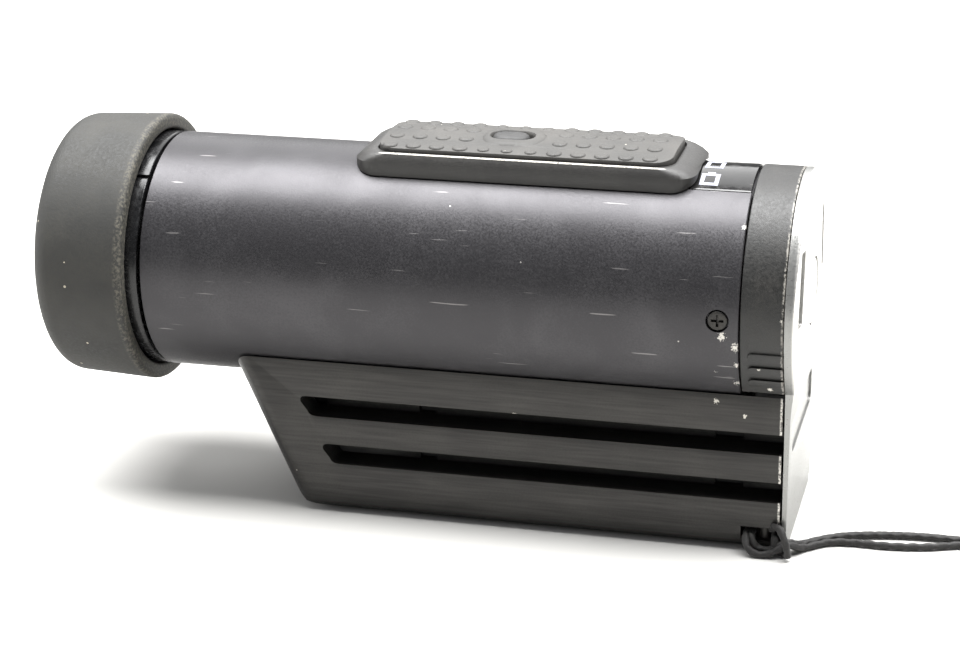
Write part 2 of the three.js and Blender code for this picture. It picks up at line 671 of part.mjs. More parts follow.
// A solid between two outlines that have the same number of points.
const loft = (lower, upper, z0, z1) => {
  const lowPoints = lower.getPoints(6);
  const highPoints = upper.getPoints(6);
  const count = lowPoints.length - 1;
  const positions = [];
  const push = (point, z) => positions.push(point.x, point.y, z);
  for (let i = 0; i < count; i += 1) {
    const j = (i + 1) % count;
    push(lowPoints[i], z0);
    push(lowPoints[j], z0);
    push(highPoints[j], z1);
    push(lowPoints[i], z0);
    push(highPoints[j], z1);
    push(highPoints[i], z1);
  }
  const capFaces = THREE.ShapeUtils.triangulateShape(lowPoints.slice(0, count), []);
  for (const [a, b, c] of capFaces) {
    push(lowPoints[a], z0);
    push(lowPoints[c], z0);
    push(lowPoints[b], z0);
    push(highPoints[a], z1);
    push(highPoints[b], z1);
    push(highPoints[c], z1);
  }
  const geometry = new THREE.BufferGeometry();
  geometry.setAttribute('position', new THREE.Float32BufferAttribute(positions, 3));
  return solidOf(geometry);
};
const sliderFront = sliderRear - sliderLength;
const sliderRimHeight = barrelRadius + sliderRimRise;
const sliderRimHalfWidth = sliderHalfWidth - sliderTaper;
const padCrown = barrelRadius + padRise;
const rimFront = sliderFront + sliderRimSetback;
const rimRear = sliderRear - sliderRimSetback;
const skirtFloor = Math.sqrt(sliderSole ** 2 - sliderHalfWidth ** 2) - 1;
const skirtShoulder = sliderRimHeight - sliderShoulder;
const skirtOutline = roundedRectangle(
  sliderFront, sliderRear, -sliderHalfWidth, sliderHalfWidth, sliderCorner);
const rimOutline = roundedRectangle(
  rimFront, rimRear, -sliderRimHalfWidth, sliderRimHalfWidth, sliderCorner);
const skirt = loft(skirtOutline, rimOutline, skirtShoulder, sliderRimHeight)
  .add(alongZ(skirtOutline, skirtFloor, skirtShoulder, 6));
const padHalfWidth = sliderRimHalfWidth - padInset - rimLip;
const padFront = rimFront + padInset + rimLip;
const padRear = rimRear - padInset - rimLip;
const padFloor = sliderRimHeight - 0.5;
const padOutline = (margin) => roundedRectangle(
  padFront - margin, padRear + margin, -padHalfWidth - margin, padHalfWidth + margin, sliderCorner - 0.6);
let sliderFrame = skirt.subtract(disc(sliderFront - 5, sliderRear + 5, sliderSole));
sliderFrame = sliderFrame.subtract(alongZ(padOutline(snug), padFloor - snug, sliderRimHeight + 1, 5));
const footTop = boreRadius - footDrop;
const footFloor = footTop - footThickness;
const stem = block(
  stemStation - stemHalfLength, stemStation + stemHalfLength, -stemHalfWidth, stemHalfWidth,
  footTop - 0.2, padFloor - snug - 0.05);
const foot = block(
  stemStation - stemHalfLength, stemStation + stemHalfLength, -footHalfWidth, footHalfWidth,
  footFloor, footTop);
const magnetRadius = 1.2;
const magnetDepth = 1.6;
const magnetHole = upright(
  stemStation, 0, footFloor - 1, footFloor + magnetDepth, magnetRadius + snug);
sliderFrame = sliderFrame.add(stem).add(foot).subtract(magnetHole);
recordSlider.add(piece('slider_frame', sliderFrame, rubber()));
recordSlider.add(piece('slider_magnet', upright(
  stemStation, 0, footFloor, footFloor + magnetDepth - snug, magnetRadius), steel()));

const padSag = (y) => padCrown - (padCrownRadius - Math.sqrt(padCrownRadius ** 2 - y ** 2));
const padSection = new THREE.Shape();
padSection.moveTo(-padHalfWidth, padFloor);
padSection.lineTo(padHalfWidth, padFloor);
padSection.lineTo(padHalfWidth, sliderRimHeight + 0.15);
for (let step = 0; step <= 8; step += 1) {
  const y = (padHalfWidth - 0.4) * (1 - step / 4);
  padSection.lineTo(y, padSag(y));
}
padSection.lineTo(-padHalfWidth, sliderRimHeight + 0.15);
let pad = alongX(padSection, padFront, padRear)
  .intersect(alongZ(padOutline(0), padFloor - 1, padCrown + 2, 5));
const bossTop = padCrown + lockBossRise;
const boss = alongZ(roundedRectangle(
  lockBossStation - lockBossHalfLength, lockBossStation + lockBossHalfLength,
  -lockBossHalfWidth, lockBossHalfWidth, lockBossHalfWidth - 0.4),
padCrown - 1, bossTop, 6);
pad = pad.add(boss);
const lockWell = alongZ(roundedRectangle(
  lockStation - lockHalfLength - lockSlack, lockStation + lockHalfLength + lockTravel + lockSlack,
  -lockHalfWidth - lockSlack, lockHalfWidth + lockSlack, lockHalfWidth), padFloor + 0.4, bossTop + 1, 6);
pad = pad.subtract(lockWell);
recordSlider.add(piece('slider_pad', pad, rubber()));

const lockButton = new THREE.Group();
const lockOutline = roundedRectangle(
  lockStation - lockHalfLength, lockStation + lockHalfLength,
  -lockHalfWidth, lockHalfWidth, lockHalfWidth - 0.1);
lockButton.add(piece('lock_button',
  alongZ(lockOutline, padFloor + 0.4 + snug, bossTop - 0.1, 6), glossPlastic()));

// ---- Rear door -----------------------------------------------------------------------------------
const rearDoor = new THREE.Group();
const legAngle = Math.atan2(creaseHeight + 0.25, baseHalfWidth);
let door = alongX(arcBand(doorInner, barrelRadius, legAngle, Math.PI - legAngle), doorSeam, doorLength, 28);
const webFrontX = doorLength - doorWeb;
const belowWeb = block(
  webFrontX - 1, doorLength + 1, -2 * barrelRadius, 2 * barrelRadius, -2 * barrelRadius, webFloor);
const web = disc(webFrontX, doorLength, doorInner + 0.3).subtract(belowWeb);
door = door.add(web);
const flangeRadius = buttonRadius + 0.9;
door = door.subtract(disc(webFrontX - 1, doorLength + 1, flangeRadius + fit, 24));
const runnerTop = webFloor + runnerLength;
for (const side of [-1, 1]) {
  for (const edge of [-1, 1]) {
    const wallInner = side * guideOffset + edge * (guideHead / 2 + fit);
    const wallOuter = wallInner + edge * runnerWall;
    const lipEnd = side * guideOffset + edge * (guideStem / 2 + fit);
    const wall = [wallInner, wallOuter].sort((a, b) => a - b);
    const lip = [lipEnd, wallOuter].sort((a, b) => a - b);
    const lipX = guideStandOff - fit - runnerWall;
    door = door.add(block(lipX, webFrontX + 0.1, wall[0], wall[1], webFloor, runnerTop));
    door = door.add(block(lipX, guideStandOff - fit, lip[0], lip[1], webFloor, runnerTop));
  }
}
rearDoor.add(piece('door_frame', door, blackPlastic()));

const plateBottom = -baseDepth + 0.2;
const plateOutline = new THREE.Shape();
plateOutline.absarc(0, 0, barrelRadius, legAngle, Math.PI - legAngle, false);
plateOutline.lineTo(-baseHalfWidth, plateBottom + baseEdgeRadius);
plateOutline.absarc(
  -edgeCentreY, plateBottom + baseEdgeRadius, baseEdgeRadius, halfTurn, threeQuarterTurn, false);
plateOutline.absarc(
  edgeCentreY, plateBottom + baseEdgeRadius, baseEdgeRadius, threeQuarterTurn, fullTurn, false);
const plateProfile = new THREE.Shape();
plateProfile.moveTo(plateFront, 20);
plateProfile.lineTo(plateEdge, 20);
plateProfile.lineTo(plateEdge, barrelRadius);
plateProfile.quadraticCurveTo(plateCrest + 0.05, barrelRadius * 0.62, plateCrest, barrelRadius * 0.2);
plateProfile.quadraticCurveTo(plateCrest - 0.05, creaseHeight * 0.75, plateEdge - 0.1, creaseHeight * 1.12);
const footFaceX = plateFront + plateFoot;
plateProfile.quadraticCurveTo(footFaceX, creaseHeight * 1.3, footFaceX, creaseHeight * 1.7);
plateProfile.lineTo(footFaceX - 0.2, -baseDepth - 8);
plateProfile.lineTo(plateFront, -baseDepth - 8);
const crownRadius = 210;
const crown = new THREE.CylinderGeometry(crownRadius, crownRadius, 80, 360);
crown.rotateX(Math.PI / 2);
crown.translate(plateCrest - crownRadius, 0, 0);
const crownSlice = solidOf(crown).intersect(block(plateFront - 1, plateCrest + 1, -20, 20, -38, 19));
let plate = alongX(plateOutline, plateFront, plateCrest + 1, 28)
  .intersect(alongY(plateProfile, -20, 20, 6))
  .intersect(crownSlice);
plate = plate.subtract(disc(plateFront - 1, plateCrest + 1, buttonRadius + 0.2, 24));
const gripDepth = 0.3;
const gripOutline = roundedRectangle(-gripHalfWidth, gripHalfWidth, gripTop - gripHeight, gripTop, 1.2);
plate = plate.subtract(alongX(gripOutline, footFaceX - gripDepth, plateCrest + 1, 5));
const windowBlank = (margin, x0, x1) => {
  const half = windowWidth / 2 + margin;
  const rise = windowHeight / 2 + margin;
  return alongX(roundedRectangle(-half, half, -rise, rise, 0.5), x0, x1, 4);
};
for (const side of [-1, 1]) {
  const hole = windowBlank(0, plateFront - 1, plateCrest + 1).rotate([side * -windowLean, 0, 0]);
  plate = plate.subtract(hole.translate([0, side * windowOffset, windowRise]));
}
rearDoor.add(piece('rear_plate', plate, silverAluminium()));
for (const [label, side] of [['near', -1], ['far', 1]]) {
  const pane = windowBlank(-snug, plateFront + 0.1, plateFront + 0.8)
    .rotate([side * -windowLean, 0, 0])
    .translate([0, side * windowOffset, windowRise]);
  rearDoor.add(piece(`status_window_${label}`, pane, glossPlastic()));
}

// The power button's flange sits behind the plate and keeps the button in.
const powerButton = new THREE.Group();
const flangeBack = webFrontX + buttonTravel - 0.2;
const buttonProfile = [
  [flangeBack, 0], [flangeBack, flangeRadius],
  [doorLength - 0.1, flangeRadius], [doorLength - 0.1, buttonRadius],
  [plateCrest - 0.3, buttonRadius], [plateCrest - 0.1, buttonRadius - 0.2], [plateCrest - 0.1, 0],
];
powerButton.add(piece('power_button', turned(buttonProfile, 24), silverAluminium()));

// A two-position picture-size switch in the bulkhead, reached with the door open.
const modeSwitch = new THREE.Group();
modeSwitch.add(piece('mode_switch', block(
  bulkheadFront + 0.4, bulkheadRear - 0.2, -switchReach, -switchReach + 2 * switchHalfWidth,
  switchLevel - switchHalfHeight, switchLevel + switchHalfHeight), finish(0xdddddd, 0.5, 0)));

// ---- Lanyard ----------------------------------------------------------------------------------------
// A doubled braided cord hitched round the pin. It runs out along the standing surface and
// its spare length is coiled and tied. Route points are [x, y, height above the surface].
const lanyard = new THREE.Group();
const ground = -baseDepth;
const strandRoutes = {
  lanyard_strand_a: [
    [9.0, -10.8, 0.55], [11.6, -8.8, 0.55], [14.6, -8.2, 0.55], [19.2, -8.2, 0.55],
    [24.0, -7.5, 0.55], [28.4, -6.0, 0.55], [32.0, -5.5, 0.55],
  ],
  lanyard_strand_b: [
    [8.4, -9.9, 0.55], [11.0, -7.8, 0.55], [14.2, -6.1, 0.55], [19.2, -4.9, 0.55],
    [24.0, -4.4, 0.55], [28.4, -4.4, 0.55], [32.0, -4.2, 0.55],
  ],
};
const cordSection = new THREE.Shape();
for (let corner = 0; corner < cordSides; corner += 1) {
  const angle = ((corner + 0.5) / cordSides) * Math.PI * 2;
  const spot = [cordRadius * Math.cos(angle), cordRadius * Math.sin(angle)];
  if (corner === 0) cordSection.moveTo(...spot);
  else cordSection.lineTo(...spot);
}
for (const [name, route] of Object.entries(strandRoutes)) {
  const places = route.map(([x, y, lift]) => new THREE.Vector3(x, y, ground + lift));
  const path = new THREE.CatmullRomCurve3(places);
  const tube = new THREE.ExtrudeGeometry(cordSection, { steps: 12, extrudePath: path, bevelEnabled: false });
  lanyard.add(piece(name, solidOf(tube), braid()));
}
const coil = { x: 40.2, y: -2.4, inner: 3.3, outer: 7.6, height: 2.2 };
const coilFloor = 0.05;
const coilSection = [
  [coil.inner, coilFloor], [coil.outer, coilFloor], [coil.outer, coil.height],
  [coil.inner, coil.height], [coil.inner, coilFloor],
];
const coilRing = new THREE.LatheGeometry(coilSection.map(([r, z]) => new THREE.Vector2(r, z)), 24);
coilRing.rotateX(Math.PI / 2);
coilRing.translate(coil.x, coil.y, ground);
lanyard.add(piece('lanyard_coil', solidOf(coilRing), braid()));
// The hitch hangs against the near side of the base, with its knot just behind the plate.
const hitchSide = new THREE.Shape();
hitchSide.moveTo(1.0, ground + 4.2);
hitchSide.lineTo(4.6, ground + 4.8);
hitchSide.lineTo(5.6, ground + 4.4);
hitchSide.lineTo(8.0, ground + 1.7);
hitchSide.lineTo(8.0, ground + 0.1);
hitchSide.lineTo(2.0, ground + 0.1);
hitchSide.lineTo(1.0, ground + 2.0);
const hitch = alongY(hitchSide, -baseHalfWidth - 2, -baseHalfWidth - fit)
  .add(block(7.0, 8.0, -baseHalfWidth - 2, -10.7, ground + 0.1, ground + 1.7));
lanyard.add(piece('lanyard_hitch', hitch, braid()));
const tieInner = block(
  coil.x - 2, coil.x + 2, coil.y + coil.inner - fit, coil.y + coil.outer + fit,
  ground - 1, ground + coil.height + fit);
const tie = block(
  coil.x - 1.2, coil.x + 1.2, coil.y + coil.inner - 1, coil.y + coil.outer + 1,
  ground + coilFloor, ground + coil.height + 0.9).subtract(tieInner);
lanyard.add(piece('lanyard_tie', tie, braid()));

// ---- The whole camera, stood on its base ----------------------------------------------------------------
const group = new THREE.Group();
group.add(fixed, lensHead, lensCap, recordSlider, lockButton, rearDoor, powerButton, modeSwitch, lanyard);
group.position.set(-(capFront + plateCrest) / 2, 0, baseDepth);

export default group;
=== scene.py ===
# Barrel action camera with a rubber lens cap, a grooved rail base and a looped wrist lanyard.
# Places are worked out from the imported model. Sizes are in millimetres, times MM for metres.
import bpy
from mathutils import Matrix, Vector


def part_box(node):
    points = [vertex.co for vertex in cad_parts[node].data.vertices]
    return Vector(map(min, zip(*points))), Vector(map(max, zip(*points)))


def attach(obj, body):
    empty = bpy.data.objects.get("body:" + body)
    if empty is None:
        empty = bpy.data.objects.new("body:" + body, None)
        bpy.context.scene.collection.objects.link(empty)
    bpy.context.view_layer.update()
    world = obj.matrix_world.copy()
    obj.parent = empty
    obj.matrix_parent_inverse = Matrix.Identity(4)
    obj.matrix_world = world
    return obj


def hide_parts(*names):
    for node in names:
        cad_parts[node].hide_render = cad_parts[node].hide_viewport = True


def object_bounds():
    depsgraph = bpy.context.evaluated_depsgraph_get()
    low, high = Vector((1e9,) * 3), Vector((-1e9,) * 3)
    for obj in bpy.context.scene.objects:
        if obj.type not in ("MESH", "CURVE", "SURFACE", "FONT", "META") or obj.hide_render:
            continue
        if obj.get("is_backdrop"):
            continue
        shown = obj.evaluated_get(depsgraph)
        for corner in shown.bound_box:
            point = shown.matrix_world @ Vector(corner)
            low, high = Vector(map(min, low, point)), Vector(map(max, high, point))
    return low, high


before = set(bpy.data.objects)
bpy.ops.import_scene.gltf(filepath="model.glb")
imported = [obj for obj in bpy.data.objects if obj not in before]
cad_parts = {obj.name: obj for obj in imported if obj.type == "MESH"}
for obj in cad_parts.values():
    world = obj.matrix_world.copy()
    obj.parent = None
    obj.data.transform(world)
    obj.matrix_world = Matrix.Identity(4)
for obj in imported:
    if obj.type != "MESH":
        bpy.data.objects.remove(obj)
cad_box = [list(corner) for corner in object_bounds()]

import math
from types import SimpleNamespace

import bpy
from mathutils import Matrix, Vector

# ---- Camera and studio ---------------------------------------------------------------
# A long lens looks down on the object's near side from a little behind its middle. The
# object stands on a pale paper sweep under large soft boxes.
MM = 0.001
barrel_low, barrel_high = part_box("barrel_tube")
seam_x = barrel_high[0]
axis_z = (barrel_low[2] + barrel_high[2]) / 2
barrel_radius = (barrel_high[2] - barrel_low[2]) / 2 / MM
barrel_front = (barrel_low[0] - seam_x) / MM


def at(x, y, z):
    """A place given in millimetres from the barrel's rear face, on its axis."""
    return Vector((seam_x + x * MM, y * MM, axis_z + z * MM))


yaw = math.radians(14.83)
pitch = math.radians(20.80)
roll = math.radians(-1.08)
look_at = at(-37.94, 0, -8.62)
distance = 330.05 * MM
forward = Vector((-math.sin(yaw) * math.cos(pitch), math.cos(yaw) * math.cos(pitch), -math.sin(pitch)))
level_right = Vector((math.cos(yaw), math.sin(yaw), 0))
level_up = level_right.cross(forward)
right = level_right * math.cos(roll) + level_up * math.sin(roll)
up = level_up * math.cos(roll) - level_right * math.sin(roll)
bpy.ops.object.select_all(action="DESELECT")
bpy.ops.object.camera_add()
camera = bpy.context.object
camera.name = "studio_camera"
camera.data.lens = 90.22
camera.data.sensor_width = 36
camera.data.clip_start = 0.01
camera.data.clip_end = 20
turn = Matrix((right, up, -forward)).transposed().to_4x4()
camera.matrix_world = Matrix.Translation(look_at - forward * distance) @ turn
bpy.context.scene.camera = camera


def hex_colour(code):
    """An sRGB hex code as the linear colour that a shader takes."""
    parts = [int(code[i:i + 2], 16) / 255 for i in (0, 2, 4)]
    linear = [c / 12.92 if c <= 0.04045 else ((c + 0.055) / 1.055) ** 2.4 for c in parts]
    return (*linear, 1.0)


def add_node(tree, kind, settings=(), links=()):
    """Adds a node with its settings, its ramp stops and its links. A link is from a node's
    first output, or from a pair of a node and the output's name or number."""
    node = tree.nodes.new(kind)
    for key, value in dict(settings).items():
        if key == "stops":
            for position, colour in value[2:]:
                node.color_ramp.elements.new(position)
            for element, (position, colour) in zip(node.color_ramp.elements, value):
                element.position = position
                element.color = hex_colour(colour)
        elif isinstance(key, str) and hasattr(node, key):
            setattr(node, key, value)
        else:
            node.inputs[key].default_value = value
    for key, source in dict(links).items():
        source_node, output = source if isinstance(source, tuple) else (source, 0)
        tree.links.new(source_node.outputs[output], node.inputs[key])
    return node


def new_material(name, colour, roughness, metallic=0.0, ior=1.5):
    """A Principled material with its even values set, kept with its node tree and shader."""
    material = bpy.data.materials.new(name)
    material.use_nodes = True
    shader = material.node_tree.nodes["Principled BSDF"]
    shader.inputs["Base Color"].default_value = hex_colour(colour)
    shader.inputs["Roughness"].default_value = roughness
    shader.inputs["Metallic"].default_value = metallic
    shader.inputs["IOR"].default_value = ior
    return SimpleNamespace(material=material, tree=material.node_tree, shader=shader)


# The sweep is one sheet of matt pale grey paper, lying flat and curving up far behind. The
# soft boxes light it to a plain white.
sweep_half_width = 2.6
sweep_front = -2.2
sweep_back = 1.9
sweep_radius = 0.9
sweep_wall = 1.2
sweep_steps = 12
bpy.ops.object.select_all(action="DESELECT")
bpy.ops.mesh.primitive_plane_add(size=1, location=(0, (sweep_front + sweep_back) / 2, 0))
sweep = bpy.context.object
sweep.name = "paper_sweep"
sweep.scale = (2 * sweep_half_width, sweep_back - sweep_front, 1)
bpy.ops.object.transform_apply(location=True, rotation=True, scale=True)
bpy.ops.object.mode_set(mode="EDIT")
bpy.ops.mesh.select_all(action="DESELECT")
bpy.ops.object.mode_set(mode="OBJECT")
for edge in sweep.data.edges:
    edge.select = all(sweep.data.vertices[v].co.y > 0 for v in edge.vertices)
bpy.ops.object.mode_set(mode="EDIT")
bpy.ops.mesh.select_mode(type="EDGE")
for step in range(sweep_steps):
    start_angle = step / sweep_steps * math.pi / 2
    end_angle = (step + 1) / sweep_steps * math.pi / 2
    rise = sweep_radius * (math.cos(start_angle) - math.cos(end_angle))
    run = sweep_radius * (math.sin(end_angle) - math.sin(start_angle))
    bpy.ops.mesh.extrude_edges_move(TRANSFORM_OT_translate={"value": (0, run, rise)})
bpy.ops.mesh.extrude_edges_move(TRANSFORM_OT_translate={"value": (0, 0, sweep_wall)})
bpy.ops.object.mode_set(mode="OBJECT")
bpy.ops.object.shade_smooth()
paper = new_material("matt_paper", "bdbcb9", 0.85)
paper.shader.inputs["Specular IOR Level"].default_value = 0.2
sweep.data.materials.append(paper.material)
sweep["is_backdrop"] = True

middle = Vector((0, 0, 0.03))


def soft_box(name, place, width, height, watts):
    """A rectangular soft box that faces the object."""
    bpy.ops.object.light_add(type="AREA", location=place)
    light = bpy.context.object
    light.name = name
    light.data.shape = "RECTANGLE"
    light.data.size = width
    light.data.size_y = height
    light.data.energy = watts
    light.rotation_mode = "QUATERNION"
    light.rotation_quaternion = (middle - Vector(place)).to_track_quat("-Z", "Y")


soft_box("top_box", (0.0, 0.06, 0.7), 1.3, 0.42, 32.0)
soft_box("rear_box", (0.1, 0.95, 0.75), 1.8, 0.9, 14.0)
soft_box("left_box", (-0.9, -0.1, 0.35), 0.6, 0.7, 3.5)
world = bpy.data.worlds.new("studio_room")
world.use_nodes = True
room = world.node_tree.nodes["Background"]
room.inputs["Color"].default_value = hex_colour("eef1f6")
room.inputs["Strength"].default_value = 0.3
bpy.context.scene.world = world
bpy.context.scene.view_settings.view_transform = "Standard"

# ---- Wrist lanyard ---------------------------------------------------------------------
# A thin braided nylon cord, doubled and hitched round a steel pin in the base's lower
# corner. It runs off along the table, and its spare length lies coiled and tied.
cord_diameter = 1.0
ground = -axis_z / MM


def span(node):
    """A CAD node's two corners in the local millimetres that at() takes."""
    return [[(x - seam_x) / MM, y / MM, (z - axis_z) / MM] for x, y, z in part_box(node)]


coil_low, coil_high = span("lanyard_coil")
coil_x = (coil_low[0] + coil_high[0]) / 2
coil_y = (coil_low[1] + coil_high[1]) / 2
coil_outer = (coil_high[0] - coil_low[0]) / 2
coil_turns = 3
coil_pitch = 1.05
points_per_turn = 16


def coil_points(height, start_degrees):
    """Turns that wind inwards from the place where a strand meets the coil."""
    points = []
    for step in range(coil_turns * points_per_turn + 1):
        turns = step / points_per_turn
        radius = coil_outer - cord_diameter * 0.6 - coil_pitch * turns
        angle = math.radians(start_degrees) + turns * 2 * math.pi
        points.append((coil_x + radius * math.cos(angle), coil_y + radius * math.sin(angle), height))
    return points


# Heights are above the table. Each strand starts at the loop outside the base, passes behind
# the pin, comes out of the notch, goes through the loop and runs on to the coil.
strand_a = [
    (6.9, -14.5, 0.53), (6.8, -14.7, 1.7), (6.3, -14.4, 3.2), (5.6, -13.8, 4.2), (4.8, -12.9, 4.0),
    (4.4, -11.8, 3.1), (4.4, -9.8, 3.0), (3.2, -8.9, 3.0), (2.0, -9.6, 2.9), (1.3, -11.2, 2.7),
    (1.1, -12.9, 2.3), (1.4, -13.9, 1.4), (2.3, -14.3, 0.7), (4.0, -14.2, 0.55), (5.6, -13.8, 1.2),
    (6.9, -13.1, 1.6), (8.0, -12.0, 0.95), (9.0, -10.8, 0.55), (11.6, -8.8, 0.55), (14.6, -8.2, 0.55),
    (19.2, -8.2, 0.55), (24.0, -7.5, 0.55), (28.4, -6.0, 0.55), (32.0, -5.5, 0.55), (33.9, -6.2, 0.55),
] + coil_points(0.55, 235)
strand_b = [
    (6.7, -13.9, 0.53), (6.1, -13.3, 0.53), (5.4, -13.1, 0.75), (5.0, -13.0, 1.4), (4.9, -12.7, 2.1),
    (4.8, -11.6, 2.3), (4.7, -10.0, 2.2), (3.4, -8.7, 2.2), (2.2, -9.4, 2.3), (1.8, -11.0, 2.3),
    (1.8, -12.5, 2.4), (2.1, -13.2, 1.7), (2.9, -13.2, 0.9), (4.3, -13.1, 0.75), (5.7, -12.9, 1.5),
    (6.9, -12.2, 1.6), (7.6, -11.2, 1.0), (8.4, -9.9, 0.55), (11.0, -7.8, 0.55), (14.2, -6.1, 0.55),
    (19.2, -4.9, 0.55), (24.0, -4.4, 0.55), (28.4, -4.4, 0.55), (32.0, -4.3, 0.6), (33.6, -5.2, 1.2),
] + coil_points(1.6, 225)


def smooth_route(points, spacing, spans=24):
    """Evenly spaced places, in metres, along a smooth curve through points above the table."""
    knots = [at(x, y, ground + height) for x, y, height in points]
    knots = [knots[0] * 2 - knots[1], *knots, knots[-1] * 2 - knots[-2]]
    fine = []
    for a, b, c, d in zip(knots, knots[1:], knots[2:], knots[3:]):
        for step in range(spans):
            t = step / spans
            fine.append(0.5 * (2 * b + (c - a) * t + (2 * a - 5 * b + 4 * c - d) * t * t
                               + (3 * b - a - 3 * c + d) * t ** 3))
    fine.append(knots[-2])
    route = [fine[0]]
    for place in fine[1:]:
        while (place - route[-1]).length >= spacing:
            route.append(route[-1] + (place - route[-1]).normalized() * spacing)
    return route


def braided_tube(name, route, diameter, sides=18):
    """A closed tube along a route whose surface rises and falls as eight plaited yarns do."""
    plait_pitch = 1.9 * MM
    relief = 0.11 * diameter / 2
    vertices, faces = [], []
    across = (route[1] - route[0]).cross(Vector((0, 0, 1))).normalized()
    for index, place in enumerate(route):
        ahead = route[min(index + 1, len(route) - 1)] - route[max(index - 1, 0)]
        ahead.normalize()
        across = (across - ahead * across.dot(ahead)).normalized()
        over = ahead.cross(across)
        travel = index * (route[1] - route[0]).length / plait_pitch * 2 * math.pi
        end_taper = 0.72 if index in (0, len(route) - 1) else 1.0
        for side in range(sides):
            angle = side / sides * 2 * math.pi
            ridge = max(math.cos(2 * angle + travel), math.cos(2 * angle - travel))
            radius = (diameter / 2 - relief + relief * ridge) * end_taper
            vertices.append(place + (across * math.cos(angle) + over * math.sin(angle)) * radius)
    for ring in range(len(route) - 1):
        for side in range(sides):
            after = (side + 1) % sides
            start = ring * sides
            faces.append((start + side, start + after, start + sides + after, start + sides + side))
    faces.append(tuple(reversed(range(sides))))
    faces.append(tuple(range(len(vertices) - sides, len(vertices))))
    mesh = bpy.data.meshes.new(name)
    mesh.from_pydata(vertices, [], faces)
    tube = bpy.data.objects.new(name, mesh)
    bpy.context.scene.collection.objects.link(tube)
    mesh.polygons.foreach_set("use_smooth", [True] * len(mesh.polygons))
    return tube


# Braided nylon: black yarns with a soft sheen, so the plait shows as small light flecks.
nylon = new_material("braided_nylon", "161514", 0.66)
nylon.shader.inputs["Sheen Weight"].default_value = 0.12
nylon.shader.inputs["Sheen Roughness"].default_value = 0.4
yarn_size = 0.22 * MM
yarn_place = add_node(nylon.tree, "ShaderNodeTexCoord")
yarn_noise = add_node(nylon.tree, "ShaderNodeTexNoise", {"Scale": 1 / yarn_size, "Detail": 2.0},
                      {"Vector": (yarn_place, "Object")})
yarn_ramp = add_node(nylon.tree, "ShaderNodeValToRGB", {"stops": ((0.38, "0c0c0c"), (0.74, "262321"))},
                     {"Fac": yarn_noise})
nylon.tree.links.new(yarn_ramp.outputs["Color"], nylon.shader.inputs["Base Color"])

strand_step = 0.16 * MM
tie_diameter = 0.7
tie_width = 1.8
tie_turns = 3
tie_steps = 60
for name, points, replaced in (
        ("cord_strand_a", strand_a, ("lanyard_strand_a", "lanyard_hitch", "lanyard_coil")),
        ("cord_strand_b", strand_b, ("lanyard_strand_b",))):
    route = smooth_route(points, strand_step)
    strand = braided_tube(name, route, cord_diameter * MM)
    strand.data.materials.append(nylon.material)
    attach(strand, "camera_body")
    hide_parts(*replaced)
    tie = None
    if name == "cord_strand_a":
        # The tie is a short end of the same cord, wound three times round the coil.
        tie_y = coil_y + coil_outer - 2.1
        tie_points = []
        for step in range(tie_steps + 1):
            angle = step / tie_steps * tie_turns * 2 * math.pi
            tie_points.append((coil_x + tie_width * (step / tie_steps - 0.5),
                               tie_y + 2.75 * math.cos(angle),
                               1.22 + max(-0.84, 1.45 * math.sin(angle))))
        tie = braided_tube("cord_tie", smooth_route(tie_points, strand_step), tie_diameter * MM, 12)
        tie.data.materials.append(nylon.material)
        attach(tie, "camera_body")
        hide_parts("lanyard_tie")

# ---- Lens cap --------------------------------------------------------------------------
# A cup moulded in soft black rubber and pushed over the lens head. Handling has left its
# matt skin dusty and scuffed, with a paler worn line round the open rim.
cap_low, cap_high = span("lens_cap")
cap_front, cap_rear = cap_low[0], cap_high[0]
cap_radius = (cap_high[2] - cap_low[2]) / 2
ring_low, ring_high = span("lens_ring")
ring_front, ring_rear = ring_low[0], ring_high[0]
head_radius = (ring_high[2] - ring_low[2]) / 2


def arc(centre, radius, start, end, steps=8):
    """Points on a circular arc, angles in degrees from the first axis to the second."""
    angles = [math.radians(start + (end - start) * step / steps) for step in range(steps + 1)]
    return [(centre[0] + radius * math.cos(a), centre[1] + radius * math.sin(a)) for a in angles]


def close_up(piece, name):
    """Turns a drawn mesh's normals outwards and leaves edit mode."""
    bpy.ops.mesh.select_all(action="SELECT")
    bpy.ops.mesh.normals_make_consistent(inside=False)
    bpy.ops.object.mode_set(mode="OBJECT")
    piece.name = name
    piece.data.name = name
    return piece


